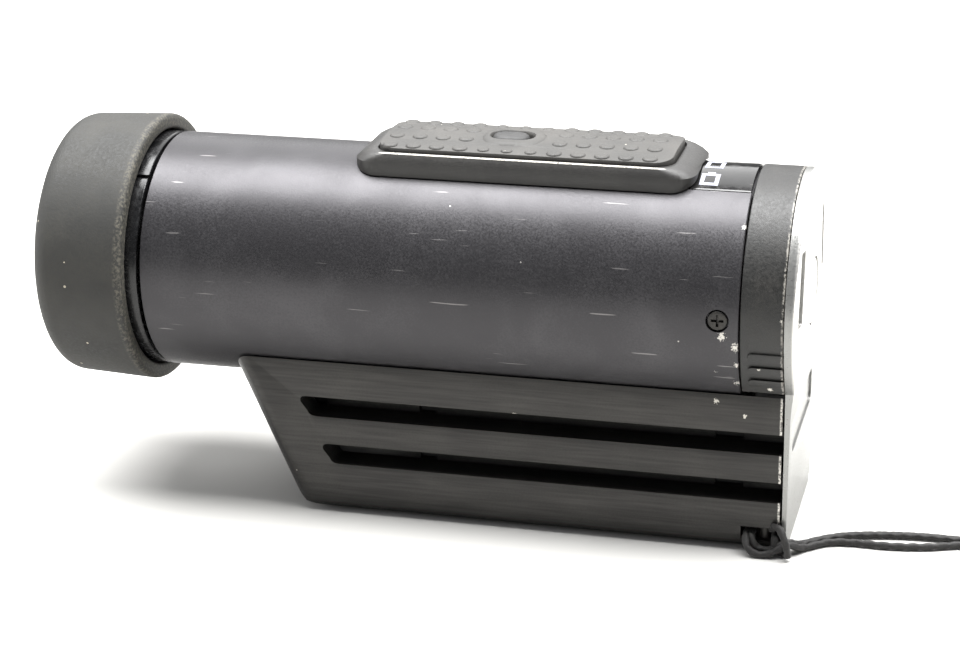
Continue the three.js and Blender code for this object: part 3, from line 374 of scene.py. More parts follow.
def turned(name, profile, sides=192, closed=False, centre=(0, 0), upright=False):
    """A ring of edges drawn out through [station, radius] points, as on a lathe, along x or
    upright along z. The two ends are filled, or joined where the profile is closed."""
    profile = [*profile, profile[0]] if closed else profile
    first_station, first_radius = profile[0]
    start = at(*centre, first_station) if upright else at(first_station, *centre)
    bpy.ops.object.select_all(action="DESELECT")
    bpy.ops.mesh.primitive_circle_add(
        vertices=sides, radius=first_radius * MM, location=start,
        rotation=(0, 0 if upright else math.pi / 2, 0), fill_type="NOTHING" if closed else "TRIFAN")
    piece = bpy.context.object
    bpy.ops.object.mode_set(mode="EDIT")
    bpy.ops.mesh.select_mode(type="EDGE")
    bpy.ops.mesh.select_all(action="SELECT")
    if not closed:
        bpy.ops.mesh.region_to_loop()
    for (s0, r0), (s1, r1) in zip(profile, profile[1:]):
        travel = (s1 - s0) * MM
        grow = r1 / r0
        bpy.ops.mesh.extrude_edges_move(
            TRANSFORM_OT_translate={"value": (0, 0, travel) if upright else (travel, 0, 0)})
        bpy.ops.transform.resize(
            value=(grow, grow, 1) if upright else (1, grow, grow),
            center_override=at(*centre, s1) if upright else at(s1, *centre))
    if not closed:
        bpy.ops.mesh.edge_face_add()
        bpy.ops.mesh.poke()
    bpy.ops.mesh.select_all(action="SELECT")
    bpy.ops.mesh.remove_doubles(threshold=1e-6)
    close_up(piece, name)
    bpy.ops.object.transform_apply(location=True, rotation=True, scale=True)
    return piece


def pick(piece):
    """Selects one piece alone and makes it active."""
    bpy.ops.object.select_all(action="DESELECT")
    piece.select_set(True)
    bpy.context.view_layer.objects.active = piece


def dress(piece, finish, slot, body, *replaced, smooth=32):
    """Gives a new piece its finish, its smooth shading and its place in the object."""
    piece.data.materials.clear()
    piece.data.materials.append(finish.material)
    pick(piece)
    bpy.ops.object.shade_smooth_by_angle(angle=math.radians(smooth))
    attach(piece, body)
    if replaced:
        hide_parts(*replaced)


cap_round = 2.8
cap_rim_round = 0.8
cap_lip_round = 0.45
cap_taper = 0.45
cap_bore = head_radius + 0.3
cap_wall_end = cap_front + 2.2
dish_radius = 12.4
cap_profile = [(cap_front + 0.35, dish_radius), (cap_front + 0.3, dish_radius + 0.5),
               (cap_front, dish_radius + 1.1)]
cap_profile += arc((cap_front + cap_round, cap_radius - cap_taper - cap_round), cap_round, 180, 90, 12)
cap_profile += arc((cap_rear - cap_rim_round, cap_radius - cap_rim_round), cap_rim_round, 90, 0, 6)
cap_profile += arc((cap_rear - cap_lip_round, cap_bore + cap_lip_round), cap_lip_round, 0, -90, 5)
cap_profile += [(cap_wall_end, cap_bore), (cap_wall_end, 8.0)]
cap = turned("rubber_lens_cap", cap_profile)


def grained(name, dark, light, roughness, metallic=0.0, grain=0.3, patch=7.0, depth=0.04,
            reach=(0.18, 0.42)):
    """A finish with fine grain, in millimetres across and deep, and softer patches of a second
    colour. It keeps its place, grain and colour nodes, so that wear, and painted light and shade,
    can be laid over it."""
    finish = new_material(name, dark, roughness, metallic)
    tree, shader = finish.tree, finish.shader
    place = add_node(tree, "ShaderNodeTexCoord")
    fine = add_node(tree, "ShaderNodeTexNoise", {
        "Scale": 1 / (grain * MM), "Detail": 4.0, "Roughness": 0.65}, {"Vector": (place, "Object")})
    broad = add_node(tree, "ShaderNodeTexNoise", {
        "Scale": 1 / (patch * MM), "Detail": 5.0, "Distortion": 0.4}, {"Vector": (place, "Object")})
    both = add_node(tree, "ShaderNodeMath", {"operation": "MULTIPLY"}, {0: fine, 1: broad})
    low, high = reach
    amount = add_node(tree, "ShaderNodeMapRange", {"From Min": low, "From Max": high}, {"Value": both})
    dull = add_node(tree, "ShaderNodeMapRange", {"From Min": 0.3, "From Max": 0.7, "To Min": roughness - 0.1,
                                                 "To Max": roughness + 0.1}, {"Value": fine})
    relief = add_node(tree, "ShaderNodeBump", {"Strength": 0.6, "Distance": depth * MM}, {"Height": fine})
    tree.links.new(dull.outputs["Result"], shader.inputs["Roughness"])
    tree.links.new(relief.outputs["Normal"], shader.inputs["Normal"])
    finish.place = place
    finish.grain = fine
    finish.colour = add_node(tree, "ShaderNodeMix", {
        "data_type": "RGBA", 6: hex_colour(dark), 7: hex_colour(light)}, {0: amount})
    tree.links.new(finish.colour.outputs[2], shader.inputs["Base Color"])
    return finish


def lay_wear_and_light(finish, mark_colour, *amounts, broken=None):
    """Lays a second colour over a finish where every one of the amounts is 1: wear, and also
    painted light and shade. Broken holds the two levels of grain between which the mark sets in,
    and its greatest strength."""
    tree = finish.tree
    if broken:
        low, high, most = broken
        amounts += (add_node(tree, "ShaderNodeMapRange", {"From Min": low, "From Max": high, "To Max": most},
                             {"Value": finish.grain}),)
    total = amounts[0]
    for amount in amounts[1:]:
        total = add_node(tree, "ShaderNodeMath", {"operation": "MULTIPLY"}, {0: total, 1: amount})
    finish.colour = add_node(tree, "ShaderNodeMix", {"data_type": "RGBA", 7: hex_colour(mark_colour)},
                             {0: total, 6: (finish.colour, 2)})
    tree.links.new(finish.colour.outputs[2], finish.shader.inputs["Base Color"])


def specks(finish, mark_colour, cell, share, radius):
    """Small round specks, one in a share of the cells of a grid, with cell in millimetres."""
    tree = finish.tree
    cells = add_node(tree, "ShaderNodeTexVoronoi", {"Scale": 1 / (cell * MM)},
                     {"Vector": (finish.place, "Object")})
    chance = add_node(tree, "ShaderNodeSeparateColor", links={"Color": (cells, "Color")})
    chosen = add_node(tree, "ShaderNodeMath", {"operation": "LESS_THAN", 1: share}, {0: chance})
    near = add_node(tree, "ShaderNodeMath", {"operation": "LESS_THAN", 1: radius / cell}, {0: cells})
    lay_wear_and_light(finish, mark_colour, chosen, near)


def along(finish, axis, low, high):
    """Rises from 0 to 1 between two local millimetre stations on an axis."""
    parts = add_node(finish.tree, "ShaderNodeSeparateXYZ", links={"Vector": (finish.place, "Object")})
    index = "XYZ".index(axis)
    start, end = [at(*[station if k == index else 0 for k in range(3)])[index] for station in (low, high)]
    return add_node(finish.tree, "ShaderNodeMapRange", {"From Min": start, "From Max": end},
                    {"Value": (parts, axis)})


# Moulded rubber: nearly black and matt, with grey-brown dust in soft patches, pale specks, and
# a paler line where the open rim rubs.
rubber = grained("moulded_cap_rubber", "20201e", "302f2b", 0.7, grain=0.4, depth=0.05)
specks(rubber, "a39c8c", 1.5, 0.10, 0.18)
lay_wear_and_light(rubber, "7a7568", along(rubber, "X", cap_rear - 1.15, cap_rear - 0.7), broken=(0.45, 0.65, 0.4))
dress(cap, rubber, "cap_rubber", "cap", "lens_cap")

# ---- Turning lens head -----------------------------------------------------------------
# A turned aluminium ring, anodised gloss black, that carries the lens and two small lasers
# behind a bezel. It seats on a plastic bearing in the barrel's front and turns by hand.
def combine(piece, tool, operation="DIFFERENCE"):
    """Cuts a solid with a tool, or joins or overlaps the two, and clears the tool away."""
    pick(piece)
    cut = piece.modifiers.new("cut", "BOOLEAN")
    cut.operation = operation
    cut.solver = "EXACT"
    cut.object = tool
    bpy.ops.object.modifier_apply(modifier=cut.name)
    bpy.data.objects.remove(tool)


def soften(piece, width, segments=2, angle=30):
    """Rounds a solid's sharp edges by a width in millimetres."""
    pick(piece)
    edge = piece.modifiers.new("edge", "BEVEL")
    edge.width = width * MM
    edge.segments = segments
    edge.limit_method = "ANGLE"
    edge.angle_limit = math.radians(angle)
    edge.miter_outer = "MITER_ARC"
    bpy.ops.object.modifier_apply(modifier=edge.name)


def prism(name, outline, axis, start, end):
    """A filled outline, set out in the other two axes' order, drawn out along one axis."""
    bpy.ops.object.select_all(action="DESELECT")
    bpy.ops.mesh.primitive_circle_add(vertices=len(outline), radius=MM, fill_type="NGON")
    piece = bpy.context.object
    for vertex, (u, v) in zip(piece.data.vertices, outline):
        vertex.co = at(*{"x": (start, u, v), "y": (u, start, v), "z": (u, v, start)}[axis])
    travel = [0, 0, 0]
    travel["xyz".index(axis)] = (end - start) * MM
    bpy.ops.object.mode_set(mode="EDIT")
    bpy.ops.mesh.select_all(action="SELECT")
    bpy.ops.mesh.extrude_region_move(TRANSFORM_OT_translate={"value": travel})
    return close_up(piece, name)


def block(name, low, high):
    """A cutting or joining block between two corners."""
    outline = [(low[0], low[1]), (high[0], low[1]), (high[0], high[1]), (low[0], high[1])]
    return prism(name, outline, "z", low[2], high[2])


bezel_low, bezel_high = span("lens_bezel")
bezel_front, bezel_rear = bezel_low[0], bezel_high[0]
head_bore = bezel_high[2] + 0.3
lens_low, lens_high = span("front_lens")
lens_edge = lens_high[2]
tube_radius = span("rear_lens")[1][2] + 1.15
laser_low, laser_high = span("laser_module_right")
laser_y = (laser_low[1] + laser_high[1]) / 2
flange_rear = ring_rear - 2.9
flange_front = ring_rear - 4.9
ring_profile = [(ring_rear, head_bore), (flange_rear, head_bore), (flange_rear, tube_radius + 0.2),
                (flange_front, tube_radius + 0.2), (flange_front, head_bore),
                (ring_front + 0.3, head_bore), (ring_front, head_bore + 0.3)]
ring_profile += arc((ring_front + 0.6, head_radius - 0.6), 0.6, 180, 90, 6)
ring_profile += arc((ring_rear - 0.3, head_radius - 0.3), 0.3, 90, 0, 5)
lens_ring = turned("turned_lens_ring", ring_profile, closed=True)
laser_radius = 1.6
laser_hole = laser_radius + 0.15
for side in (-1, 1):
    combine(lens_ring, turned("laser_hole", [(ring_front - 1, laser_hole), (ring_rear - 1, laser_hole)], 48,
                              centre=(side * laser_y, 0)))
index_angle = math.radians(54)
index_length = 1.9
index_y = -head_radius * math.cos(index_angle)
index_z = head_radius * math.sin(index_angle)
combine(lens_ring, block("index_cut", (ring_rear - index_length, index_y - 0.4, index_z - 0.2),
                         (ring_rear + 0.2, index_y + 0.4, index_z + 0.2)))

# Gloss anodising: deep black with a hard, clear highlight and faint rubbed streaks.
gloss = grained("gloss_black_anodising", "101011", "2a2a2b", 0.24, 0.3, grain=0.8, patch=4.0, depth=0.004)
specks(gloss, "8f8c86", 2.2, 0.10, 0.09)
dress(lens_ring, gloss, "gloss_black_plastic", "lens_head", "lens_ring")

bezel_profile = [(bezel_rear, lens_edge + 0.15), (bezel_front + 0.45, lens_edge + 0.15),
                 (bezel_front, lens_edge + 0.7), (bezel_front, lens_edge + 1.5),
                 (bezel_front + 0.25, lens_edge + 1.7), (bezel_front + 0.25, lens_edge + 2.0),
                 (bezel_front, lens_edge + 2.2), (bezel_front, head_bore - 0.7),
                 (bezel_front + 0.3, head_bore - 0.35), (bezel_rear, head_bore - 0.35)]
bezel = turned("lens_bezel_disc", bezel_profile, closed=True)
for side in (-1, 1):
    combine(bezel, turned("laser_hole", [(bezel_front - 1, laser_hole), (bezel_rear + 1, laser_hole)], 48,
                          centre=(side * laser_y, 0)))

# The bezel is moulded matt black so that it throws no light back at the lens.
moulded = grained("moulded_black_nylon", "1b1b1c", "343332", 0.6, patch=5.0, depth=0.02)
dress(bezel, moulded, "gloss_black_plastic", "lens_head", "lens_bezel")

dome_depth = 0.8
dome_steps = 12
lens_profile = []
for step in range(1, dome_steps + 1):
    reach = step / dome_steps
    lens_profile.append((lens_low[0] + dome_depth * reach ** 2, lens_edge * reach))
lens_profile += [(lens_low[0] + 0.95, lens_edge), (lens_high[0], lens_edge), (lens_high[0], lens_edge * 0.5)]
front_lens = turned("domed_front_lens", lens_profile, 96)

# Coated optical glass: clear and very smooth, with the faint violet cast of its coating.
glass = new_material("coated_optical_glass", "c9cfe6", 0.03, ior=1.52)
glass.shader.inputs["Transmission Weight"].default_value = 0.92
glass_place = add_node(glass.tree, "ShaderNodeTexCoord")
smudge = add_node(glass.tree, "ShaderNodeTexNoise", {"Scale": 1 / (3.5 * MM), "Detail": 3.0},
                  {"Vector": (glass_place, "Object")})
haze = add_node(glass.tree, "ShaderNodeMapRange", {
    "From Min": 0.5, "From Max": 0.8, "To Min": 0.02, "To Max": 0.12}, {"Value": smudge})
glass.tree.links.new(haze.outputs["Result"], glass.shader.inputs["Roughness"])
dress(front_lens, glass, "lens_glass", "lens_head", "front_lens")

# Brass laser barrels, with a dished mouth round the beam's opening.
brass = grained("turned_brass", "a5854a", "cdae6a", 0.32, 1.0, grain=0.5, patch=3.0, depth=0.01)
for side, label in ((-1, "left"), (1, "right")):
    low, high = span(f"laser_module_{label}")
    laser_profile = [(low[0] + 0.9, 0.4), (low[0] + 0.9, 0.6), (low[0] + 0.3, 0.75), (low[0], 1.1),
                     (low[0], laser_radius - 0.2), (low[0] + 0.2, laser_radius),
                     (high[0] - 0.2, laser_radius), (high[0], laser_radius - 0.2), (high[0], 0.5)]
    laser = turned(f"laser_barrel_{label}", laser_profile, 48, centre=(side * laser_y, 0))
    dress(laser, brass, "contact_brass", "lens_head", f"laser_module_{label}")

# ---- Barrel ----------------------------------------------------------------------------
# A turned aluminium tube, bead-blasted and black anodised. Knocks have chipped the colour by
# the door joint, and fine scratches run along it.
barrel_wall = 1.6
barrel_break = 0.12
barrel_bore = barrel_radius - barrel_wall
barrel_profile = [(barrel_front, barrel_bore), (0, barrel_bore), (0, barrel_radius - barrel_break),
                  (-barrel_break, barrel_radius), (barrel_front + barrel_break, barrel_radius),
                  (barrel_front, barrel_radius - barrel_break)]
barrel = turned("blasted_barrel", barrel_profile, 256, closed=True)
plate_low, plate_high = span("indicator_plate")
plate_angle = math.degrees(math.asin(plate_high[1] / barrel_radius))
seat_angle = plate_angle + 0.5


def band(inner, outer, start, end, steps=40):
    """The outline, across the barrel, of a strip between two radii and two angles."""
    return arc((0, 0), outer, start, end, steps) + arc((0, 0), inner, end, start, steps)


seat_outline = band(barrel_radius - 0.8, barrel_radius + 1, 90 - seat_angle, 90 + seat_angle)
combine(barrel, prism("plate_seat", seat_outline, "x", plate_low[0] - 0.15, 1))
stem_x = (span("slider_magnet")[0][0] + span("slider_magnet")[1][0]) / 2
stem_half = 4.0
stem_fit = 0.3
slider_travel = 6.6
combine(barrel, block("stem_slot", (stem_x - stem_half - stem_fit, -2.0 - stem_fit, 10),
                      (stem_x + stem_half + slider_travel + stem_fit, 2.0 + stem_fit, 18)))
screw_low, screw_high = span("side_screw_near")
screw_x = (screw_low[0] + screw_high[0]) / 2
screw_z = (screw_low[2] + screw_high[2]) / 2
head_half = 1.3
for side in (-1, 1):
    seat_outline = arc((screw_x, screw_z), head_half + 0.2, 0, 352.5, 47)
    combine(barrel, prism("screw_seat", seat_outline, "y", side * (barrel_radius - 1),
                          side * (barrel_radius + 1)))

# Blasted anodising: satin charcoal with a fine sparkle, greyer where hands rub it.
blasted = grained("blasted_black_anodising", "39383a", "434244", 0.4, 0.7, grain=0.26, patch=9.0,
                  depth=0.016, reach=(0.2, 0.36))
specks(blasted, "a9a6a2", 2.6, 0.12, 0.11)


def scratches(finish, mark_colour, turn_degrees, spacing, length=5.0, cut=0.84):
    """Sparse fine lines: stretched noise, kept only where it peaks."""
    tree = finish.tree
    stretch = (1 / (length * MM), 1 / (spacing * MM), 1 / (spacing * MM))
    slant = (0, math.radians(turn_degrees), 0)
    lay = add_node(tree, "ShaderNodeMapping", {"Rotation": slant, "Scale": stretch},
                   {"Vector": (finish.place, "Object")})
    streak = add_node(tree, "ShaderNodeTexNoise", {"Scale": 1.0, "Detail": 0.0, "Distortion": 0.15},
                      {"Vector": lay})
    peak = add_node(tree, "ShaderNodeMapRange", {"From Min": cut, "From Max": cut + 0.04, "To Max": 0.4},
                    {"Value": streak})
    lay_wear_and_light(finish, mark_colour, peak)


for turn_degrees in (4, -16):
    scratches(blasted, "9a9796", turn_degrees, 0.35)


def chips(finish, mark_colour, spots, ragged=3.4, sparse=1.1):
    """Bare patches round places in local millimetres, each with its radius. The grain frays
    them by ragged radii, less sparse radii all round."""
    for x, y, z, radius in spots:
        gap = add_node(finish.tree, "ShaderNodeVectorMath", {"operation": "DISTANCE", 1: at(x, y, z)},
                       {0: (finish.place, "Object")})
        frayed = add_node(finish.tree, "ShaderNodeMath", {
            "operation": "MULTIPLY_ADD", 1: -ragged * radius * MM}, {0: finish.grain, 2: (gap, "Value")})
        bare = add_node(finish.tree, "ShaderNodeMath", {"operation": "LESS_THAN", 1: -sparse * radius * MM},
                        {0: frayed})
        lay_wear_and_light(finish, mark_colour, bare)


door_chips = ((-0.3, -15.9, -2.6, 0.75), (-0.2, -15.2, -5.2, 0.5), (-0.3, -13.9, -8.2, 0.55),
              (-2.9, -14.7, -6.4, 0.35), (-0.2, -11.0, 11.8, 0.5), (screw_x + 0.6, -16.1, -1.2, 0.7))
chips(blasted, "b9b6b0", door_chips)
dress(barrel, blasted, "black_anodised_aluminium", "camera_body", "barrel_tube")

# ---- Indicator plate -------------------------------------------------------------------
# A thin strip of polished acrylic curved to the barrel and glued in its seat behind the
# slider, with two plain status outlines printed pale on it.
strip_outline = band(barrel_radius - 0.5, barrel_radius, 90 - plate_angle, 90 + plate_angle)
indicator = prism("indicator_strip", strip_outline, "x", plate_low[0], plate_high[0])
soften(indicator, 0.1, 2, 40)

# Polished acrylic: black, near mirror-smooth, with hairline handling marks.
acrylic = grained("polished_black_acrylic", "141414", "1d1c1c", 0.14, grain=1.2, patch=5.0, depth=0.002)
scratches(acrylic, "77746f", 35, 0.5)
dress(indicator, acrylic, "gloss_black_plastic", "camera_body", "indicator_plate")


ink_floor = barrel_radius - 0.05
ink_top = barrel_radius + 0.025


def printed_patch(name, x0, x1, y0, y1, inner=ink_floor, outer=ink_top):
    """A patch of the printed layer, wrapped on the plate between two places across it."""
    angles = [math.degrees(math.acos(y / barrel_radius)) for y in (y1, y0)]
    return prism(name, band(inner, outer, angles[0], angles[1], 10), "x", x0, x1)


# Screen-printed enamel: pale lavender grey and slightly glossy, a hair above the acrylic.
enamel = grained("printed_pale_enamel", "858691", "94959f", 0.5, grain=0.4, patch=2.0, depth=0.004)
stroke = 0.55
x0, x1 = -7.05, -4.6
for label, y0, y1 in (("near", -5.45, -2.75), ("far", -0.9, 2.2)):
    outline = printed_patch(f"status_outline_{label}", x0, x1, y0, y1)
    combine(outline, printed_patch("hollow", x0 + stroke, x1 - stroke, y0 + stroke, y1 - stroke,
                                   ink_floor - 1, ink_top + 1))
    tab_inset = (x1 - x0) / 2 - 0.5
    combine(outline, printed_patch("tab", x0 + tab_inset, x1 - tab_inset, y1 - 0.1, y1 + 0.45), "UNION")
    dress(outline, enamel, "switch_plastic", "camera_body")

# ---- Side screws -----------------------------------------------------------------------
# Two small countersunk steel screws with cross recesses. They hold the bulkhead in the
# barrel, one on each side near the door, and their black oxide has worn on the rim.
oxide = grained("black_oxide_steel", "2d2c2b", "403e3b", 0.4, 0.7, grain=0.25, patch=1.2, depth=0.015)
top = barrel_radius - 0.12
for side, label in ((-1, "near"), (1, "far")):
    head_outline = arc((screw_x, screw_z), head_half, 0, 352.5, 47)
    head = prism(f"cross_screw_{label}", head_outline, "y", side * (top - 3.2), side * top)
    soften(head, 0.16, 3, 50)
    for half_x, half_z in ((0.8, 0.17), (0.17, 0.8)):
        cut_low, cut_high = sorted((side * (top - 0.55), side * (top + 1)))
        combine(head, block("recess", (screw_x - half_x, cut_low, screw_z - half_z),
                            (screw_x + half_x, cut_high, screw_z + half_z)))
    dress(head, oxide, "black_steel", "camera_body", f"side_screw_{label}")

# ---- Rail base -------------------------------------------------------------------------
# An extruded aluminium foot with two grooves down each side that slide into a mount, its
# front raked back. It is black anodised, with the grain of its polishing left lengthwise.
base_low, base_high = span("rail_base")
base_half = base_high[1]
base_rear = base_high[0]
base_bottom = base_low[2]
crease = -math.sqrt(barrel_radius ** 2 - base_half ** 2)
base_front = barrel_front + 10.2
base_rake = 0.43
toe_radius = 7.5
side_radius = 3.0
nose_radius = 3.2
base_top = crease + 3


def rake_x(z):
    """The front face's station at a height."""
    return base_front + (crease - z) * base_rake


rake_degrees = math.degrees(math.atan(base_rake))
toe_x = rake_x(base_bottom) + toe_radius * math.tan(math.radians(90 - rake_degrees) / 2)
side_outline = [(base_rear, base_top), (rake_x(base_top), base_top)]
side_outline += arc((toe_x, base_bottom + toe_radius), toe_radius, 180 + rake_degrees, 270, 16)
side_outline += [(base_rear, base_bottom)]
base = prism("grooved_rail_base", side_outline, "y", -base_half, base_half)
section = [(base_half, base_top), (-base_half, base_top)]
section += arc((-base_half + side_radius, base_bottom + side_radius), side_radius, 180, 270, 10)
section += arc((base_half - side_radius, base_bottom + side_radius), side_radius, 270, 360, 10)
combine(base, prism("section", section, "x", base_front - 8, base_rear + 1), "INTERSECT")
nose_foot = base_bottom - 6
nose_length = 95
plan = [(nose_length, -base_half), (nose_length, base_half)]
plan += arc((nose_radius, base_half - nose_radius), nose_radius, 90, 180, 10)
plan += arc((nose_radius, -base_half + nose_radius), nose_radius, 180, 270, 10)
nose = prism("nose", [(rake_x(nose_foot) + u, v) for u, v in plan], "z", nose_foot, base_top + 1)
for vertex in nose.data.vertices:
    lift = vertex.co.z / MM + base_bottom - nose_foot
    if lift > 1:
        vertex.co.x -= lift * base_rake * MM
combine(base, nose, "INTERSECT")
saddle_radius = barrel_radius + 0.3
combine(base, turned("saddle", [(base_front - 20, saddle_radius), (base_rear + 20, saddle_radius)], 256))

groove_height = 2.85
groove_depth = 4.3
groove_setback = 7.9
detent_depth = 1.0
detents = ((base_front + 11.8, 2.3), (-43.2, 2.4), (-1.9, 3.8))
core_half = base_half - groove_depth
upper_groove = -15.55
groove_pitch = 6.8
for groove_top in (upper_groove, upper_groove - groove_pitch):
    groove_bottom = groove_top - groove_height
    top_x = rake_x(groove_top) + groove_setback
    bottom_x = rake_x(groove_bottom) + groove_setback
    end = [(top_x + 0.9, groove_top), (top_x + 0.42, groove_top - 0.12), (top_x + 0.2, groove_top - 0.45),
           (top_x + 0.28, groove_top - 0.9), (bottom_x - 0.08, groove_bottom + 0.85),
           (bottom_x + 0.12, groove_bottom + 0.4), (bottom_x + 0.55, groove_bottom + 0.1),
           (bottom_x + 1.3, groove_bottom)]
    groove = [(base_rear + 1, groove_bottom), (base_rear + 1, groove_top), *end]
    for side in (-1, 1):
        low, high = sorted((side * core_half, side * (base_half + 1)))
        combine(base, prism("groove", groove, "y", low, high))
        low, high = sorted((side * (core_half - detent_depth), side * (core_half + 0.5)))
        for station, length in detents:
            if station - length / 2 > top_x - 0.6:
                combine(base, block("detent", (station - length / 2, low, groove_bottom + 0.01),
                                    (station + length / 2, high, groove_top - 0.01)))
notch_low = base_bottom + 1.7
notch_height = 2.0
notch_depth = 4.4
combine(base, block("lanyard_notch", (0.4, -base_half - 1, notch_low),
                    (base_rear + 1, -base_half + notch_depth, notch_low + notch_height)))
soften(base, 0.22, 2, 40)

# Grained anodising: near-black with fine lengthwise lines. Pale thin lines are painted at
# the near side's rear corners: bare metal rubbed by the mounts that slide on, and a painted
# highlight on the rounded corner.
rail = grained("grained_black_anodising", "282726", "302f2d", 0.38, 0.6, patch=8.0,
               depth=0.012, reach=(0.2, 0.38))
grain_lay = add_node(rail.tree, "ShaderNodeMapping", {
    "Scale": (1 / (9 * MM), 1 / (0.35 * MM), 1 / (0.35 * MM))}, {"Vector": (rail.place, "Object")})
grain_lines = add_node(rail.tree, "ShaderNodeTexNoise", {"Scale": 1.0, "Detail": 3.0}, {"Vector": grain_lay})
grain_tone = add_node(rail.tree, "ShaderNodeMapRange", {"From Min": 0.35, "From Max": 0.75, "To Max": 0.35},
                      {"Value": grain_lines})
lay_wear_and_light(rail, "484644", grain_tone)
specks(rail, "9a958c", 2.4, 0.10, 0.12)
# The pale rear-corner line is part bare metal and part painted highlight.
rear_edge = along(rail, "X", base_rear - 0.35, base_rear - 0.2)
outer_edge = along(rail, "Y", -base_half + 0.45, -base_half + 0.3)
lay_wear_and_light(rail, "c9c6bf", rear_edge, outer_edge, broken=(0.4, 0.55, 1.0))
chips(rail, "b5b1a9", ((-3.1, -base_half, -11.4, 0.45), (0.6, -base_half, -13.2, 0.4),
                       (-30.0, -base_half, -15.6, 0.3)))
dress(base, rail, "rail_aluminium", "camera_body", "rail_base")

pin_low, pin_high = span("lanyard_pin")
pin_radius = (pin_high[0] - pin_low[0]) / 2
pin_profile = [(pin_low[2], pin_radius - 0.2), (pin_low[2] + 0.2, pin_radius),
               (pin_high[2] - 0.2, pin_radius), (pin_high[2], pin_radius - 0.2)]
pin = turned("lanyard_cross_pin", pin_profile, 40, upright=True,
             centre=((pin_low[0] + pin_high[0]) / 2, (pin_low[1] + pin_high[1]) / 2))
dress(pin, oxide, "bright_steel", "camera_body", "lanyard_pin")

# ---- Record slider ---------------------------------------------------------------------
# A soft-touch rubber pad with moulded dots, set in a tapered plastic frame that slides along
# the barrel. The frame's near rim carries a pale line, part rubbed bare plastic and part a
# painted highlight, and a lock pill sits in a raised lip.
frame_low, frame_high = span("slider_frame")
slider_front, slider_rear = frame_low[0], frame_high[0]
slider_half = frame_high[1]
rim_top = frame_high[2]
slider_corner = 3.2


def rounded(x0, x1, half, corner, steps=8):
    """The outline from above of a bar with rounded corners, centred across the barrel."""
    outline = []
    for x, y, start in ((x1 - corner, -half + corner, 270), (x1 - corner, half - corner, 0),
                        (x0 + corner, half - corner, 90), (x0 + corner, -half + corner, 180)):
        outline += arc((x, y), corner, start, start + 90, steps)
    return outline


def stepped(name, x0, x1, half, corner, floor, steps, steps_round=8):
    """A rounded bar drawn up through steps of (height, inset along, inset across)."""
    piece = prism(name, rounded(x0, x1, half, corner, steps_round), "z", floor, steps[0][0])
    level = at(0, 0, steps[0][0]).z
    for vertex in piece.data.vertices:
        vertex.select = abs(vertex.co.z - level) < 1e-7
    for part in (*piece.data.polygons, *piece.data.edges):
        part.select = all(piece.data.vertices[v].select for v in part.vertices)
    bpy.ops.object.mode_set(mode="EDIT")
    bpy.ops.mesh.select_mode(type="FACE")
    length = (x1 - x0) / 2
    for (z0, along0, across0), (z1, along1, across1) in zip(steps, steps[1:]):
        bpy.ops.mesh.extrude_region_move(TRANSFORM_OT_translate={"value": (0, 0, (z1 - z0) * MM)})
        bpy.ops.transform.resize(
            value=((length - along1) / (length - along0), (half - across1) / (half - across0), 1),
            center_override=at((x0 + x1) / 2, 0, z1))
    return close_up(piece, name)


rim_lip = 0.4
rim_steps = [(16.4, 0, 0), (16.9, 0.55, 0.1), (17.35, 1.35, 0.25), (17.62, 2.1, 0.38), (rim_top, 2.45, 0.55),
             (rim_top, 2.45 + rim_lip, 0.55 + rim_lip), (rim_top - 0.55, 2.5 + rim_lip, 0.6 + rim_lip)]
slider_frame = stepped("slider_rim_frame", slider_front, slider_rear, slider_half, slider_corner, 13.0,
                       rim_steps)
slider_seat = barrel_radius + 0.2
saddle_profile = [(slider_front - 5, slider_seat), (slider_rear + 5, slider_seat)]
combine(slider_frame, turned("saddle", saddle_profile, 256))
soften(slider_frame, 0.12, 2, 50)
foot_half = 4.2
combine(slider_frame, block("stem", (stem_x - stem_half, -2, barrel_bore - 1.3),
                            (stem_x + stem_half, 2, rim_top - 0.6)), "UNION")
combine(slider_frame, block("foot", (stem_x - stem_half, -foot_half, barrel_bore - 2.3),
                            (stem_x + stem_half, foot_half, barrel_bore - 1.1)), "UNION")

# Satin moulding: dark grey-brown with a fine spark-eroded texture, and a pale line on the near
# rim that is partly rubbed bare plastic and partly a painted highlight.
skirt = grained("satin_moulded_frame", "262524", "32312f", 0.5, patch=5.0, depth=0.03)
specks(skirt, "9d988e", 2.0, 0.12, 0.13)
# The pale line on the near rim's edge is part wear and part painted highlight.
rim_high = along(skirt, "Z", rim_top - 0.14, rim_top - 0.08)
rim_outer = along(skirt, "Y", 0.72 - slider_half, 0.64 - slider_half)
lay_wear_and_light(skirt, "c8c3ba", rim_high, rim_outer, broken=(0.3, 0.5, 0.85))
dress(slider_frame, skirt, "slider_rubber", "record_slider", "slider_frame")

pad_low, pad_high = span("slider_pad")
pad_front, pad_rear = pad_low[0], pad_high[0]
pad_half = pad_high[1]
pad_crown = pad_high[2] - 0.45
crown_radius = 45
crown_steps = 24


def crown(y):
    """The pad's height at a place across it."""
    return pad_crown - (crown_radius - math.sqrt(crown_radius ** 2 - y * y))


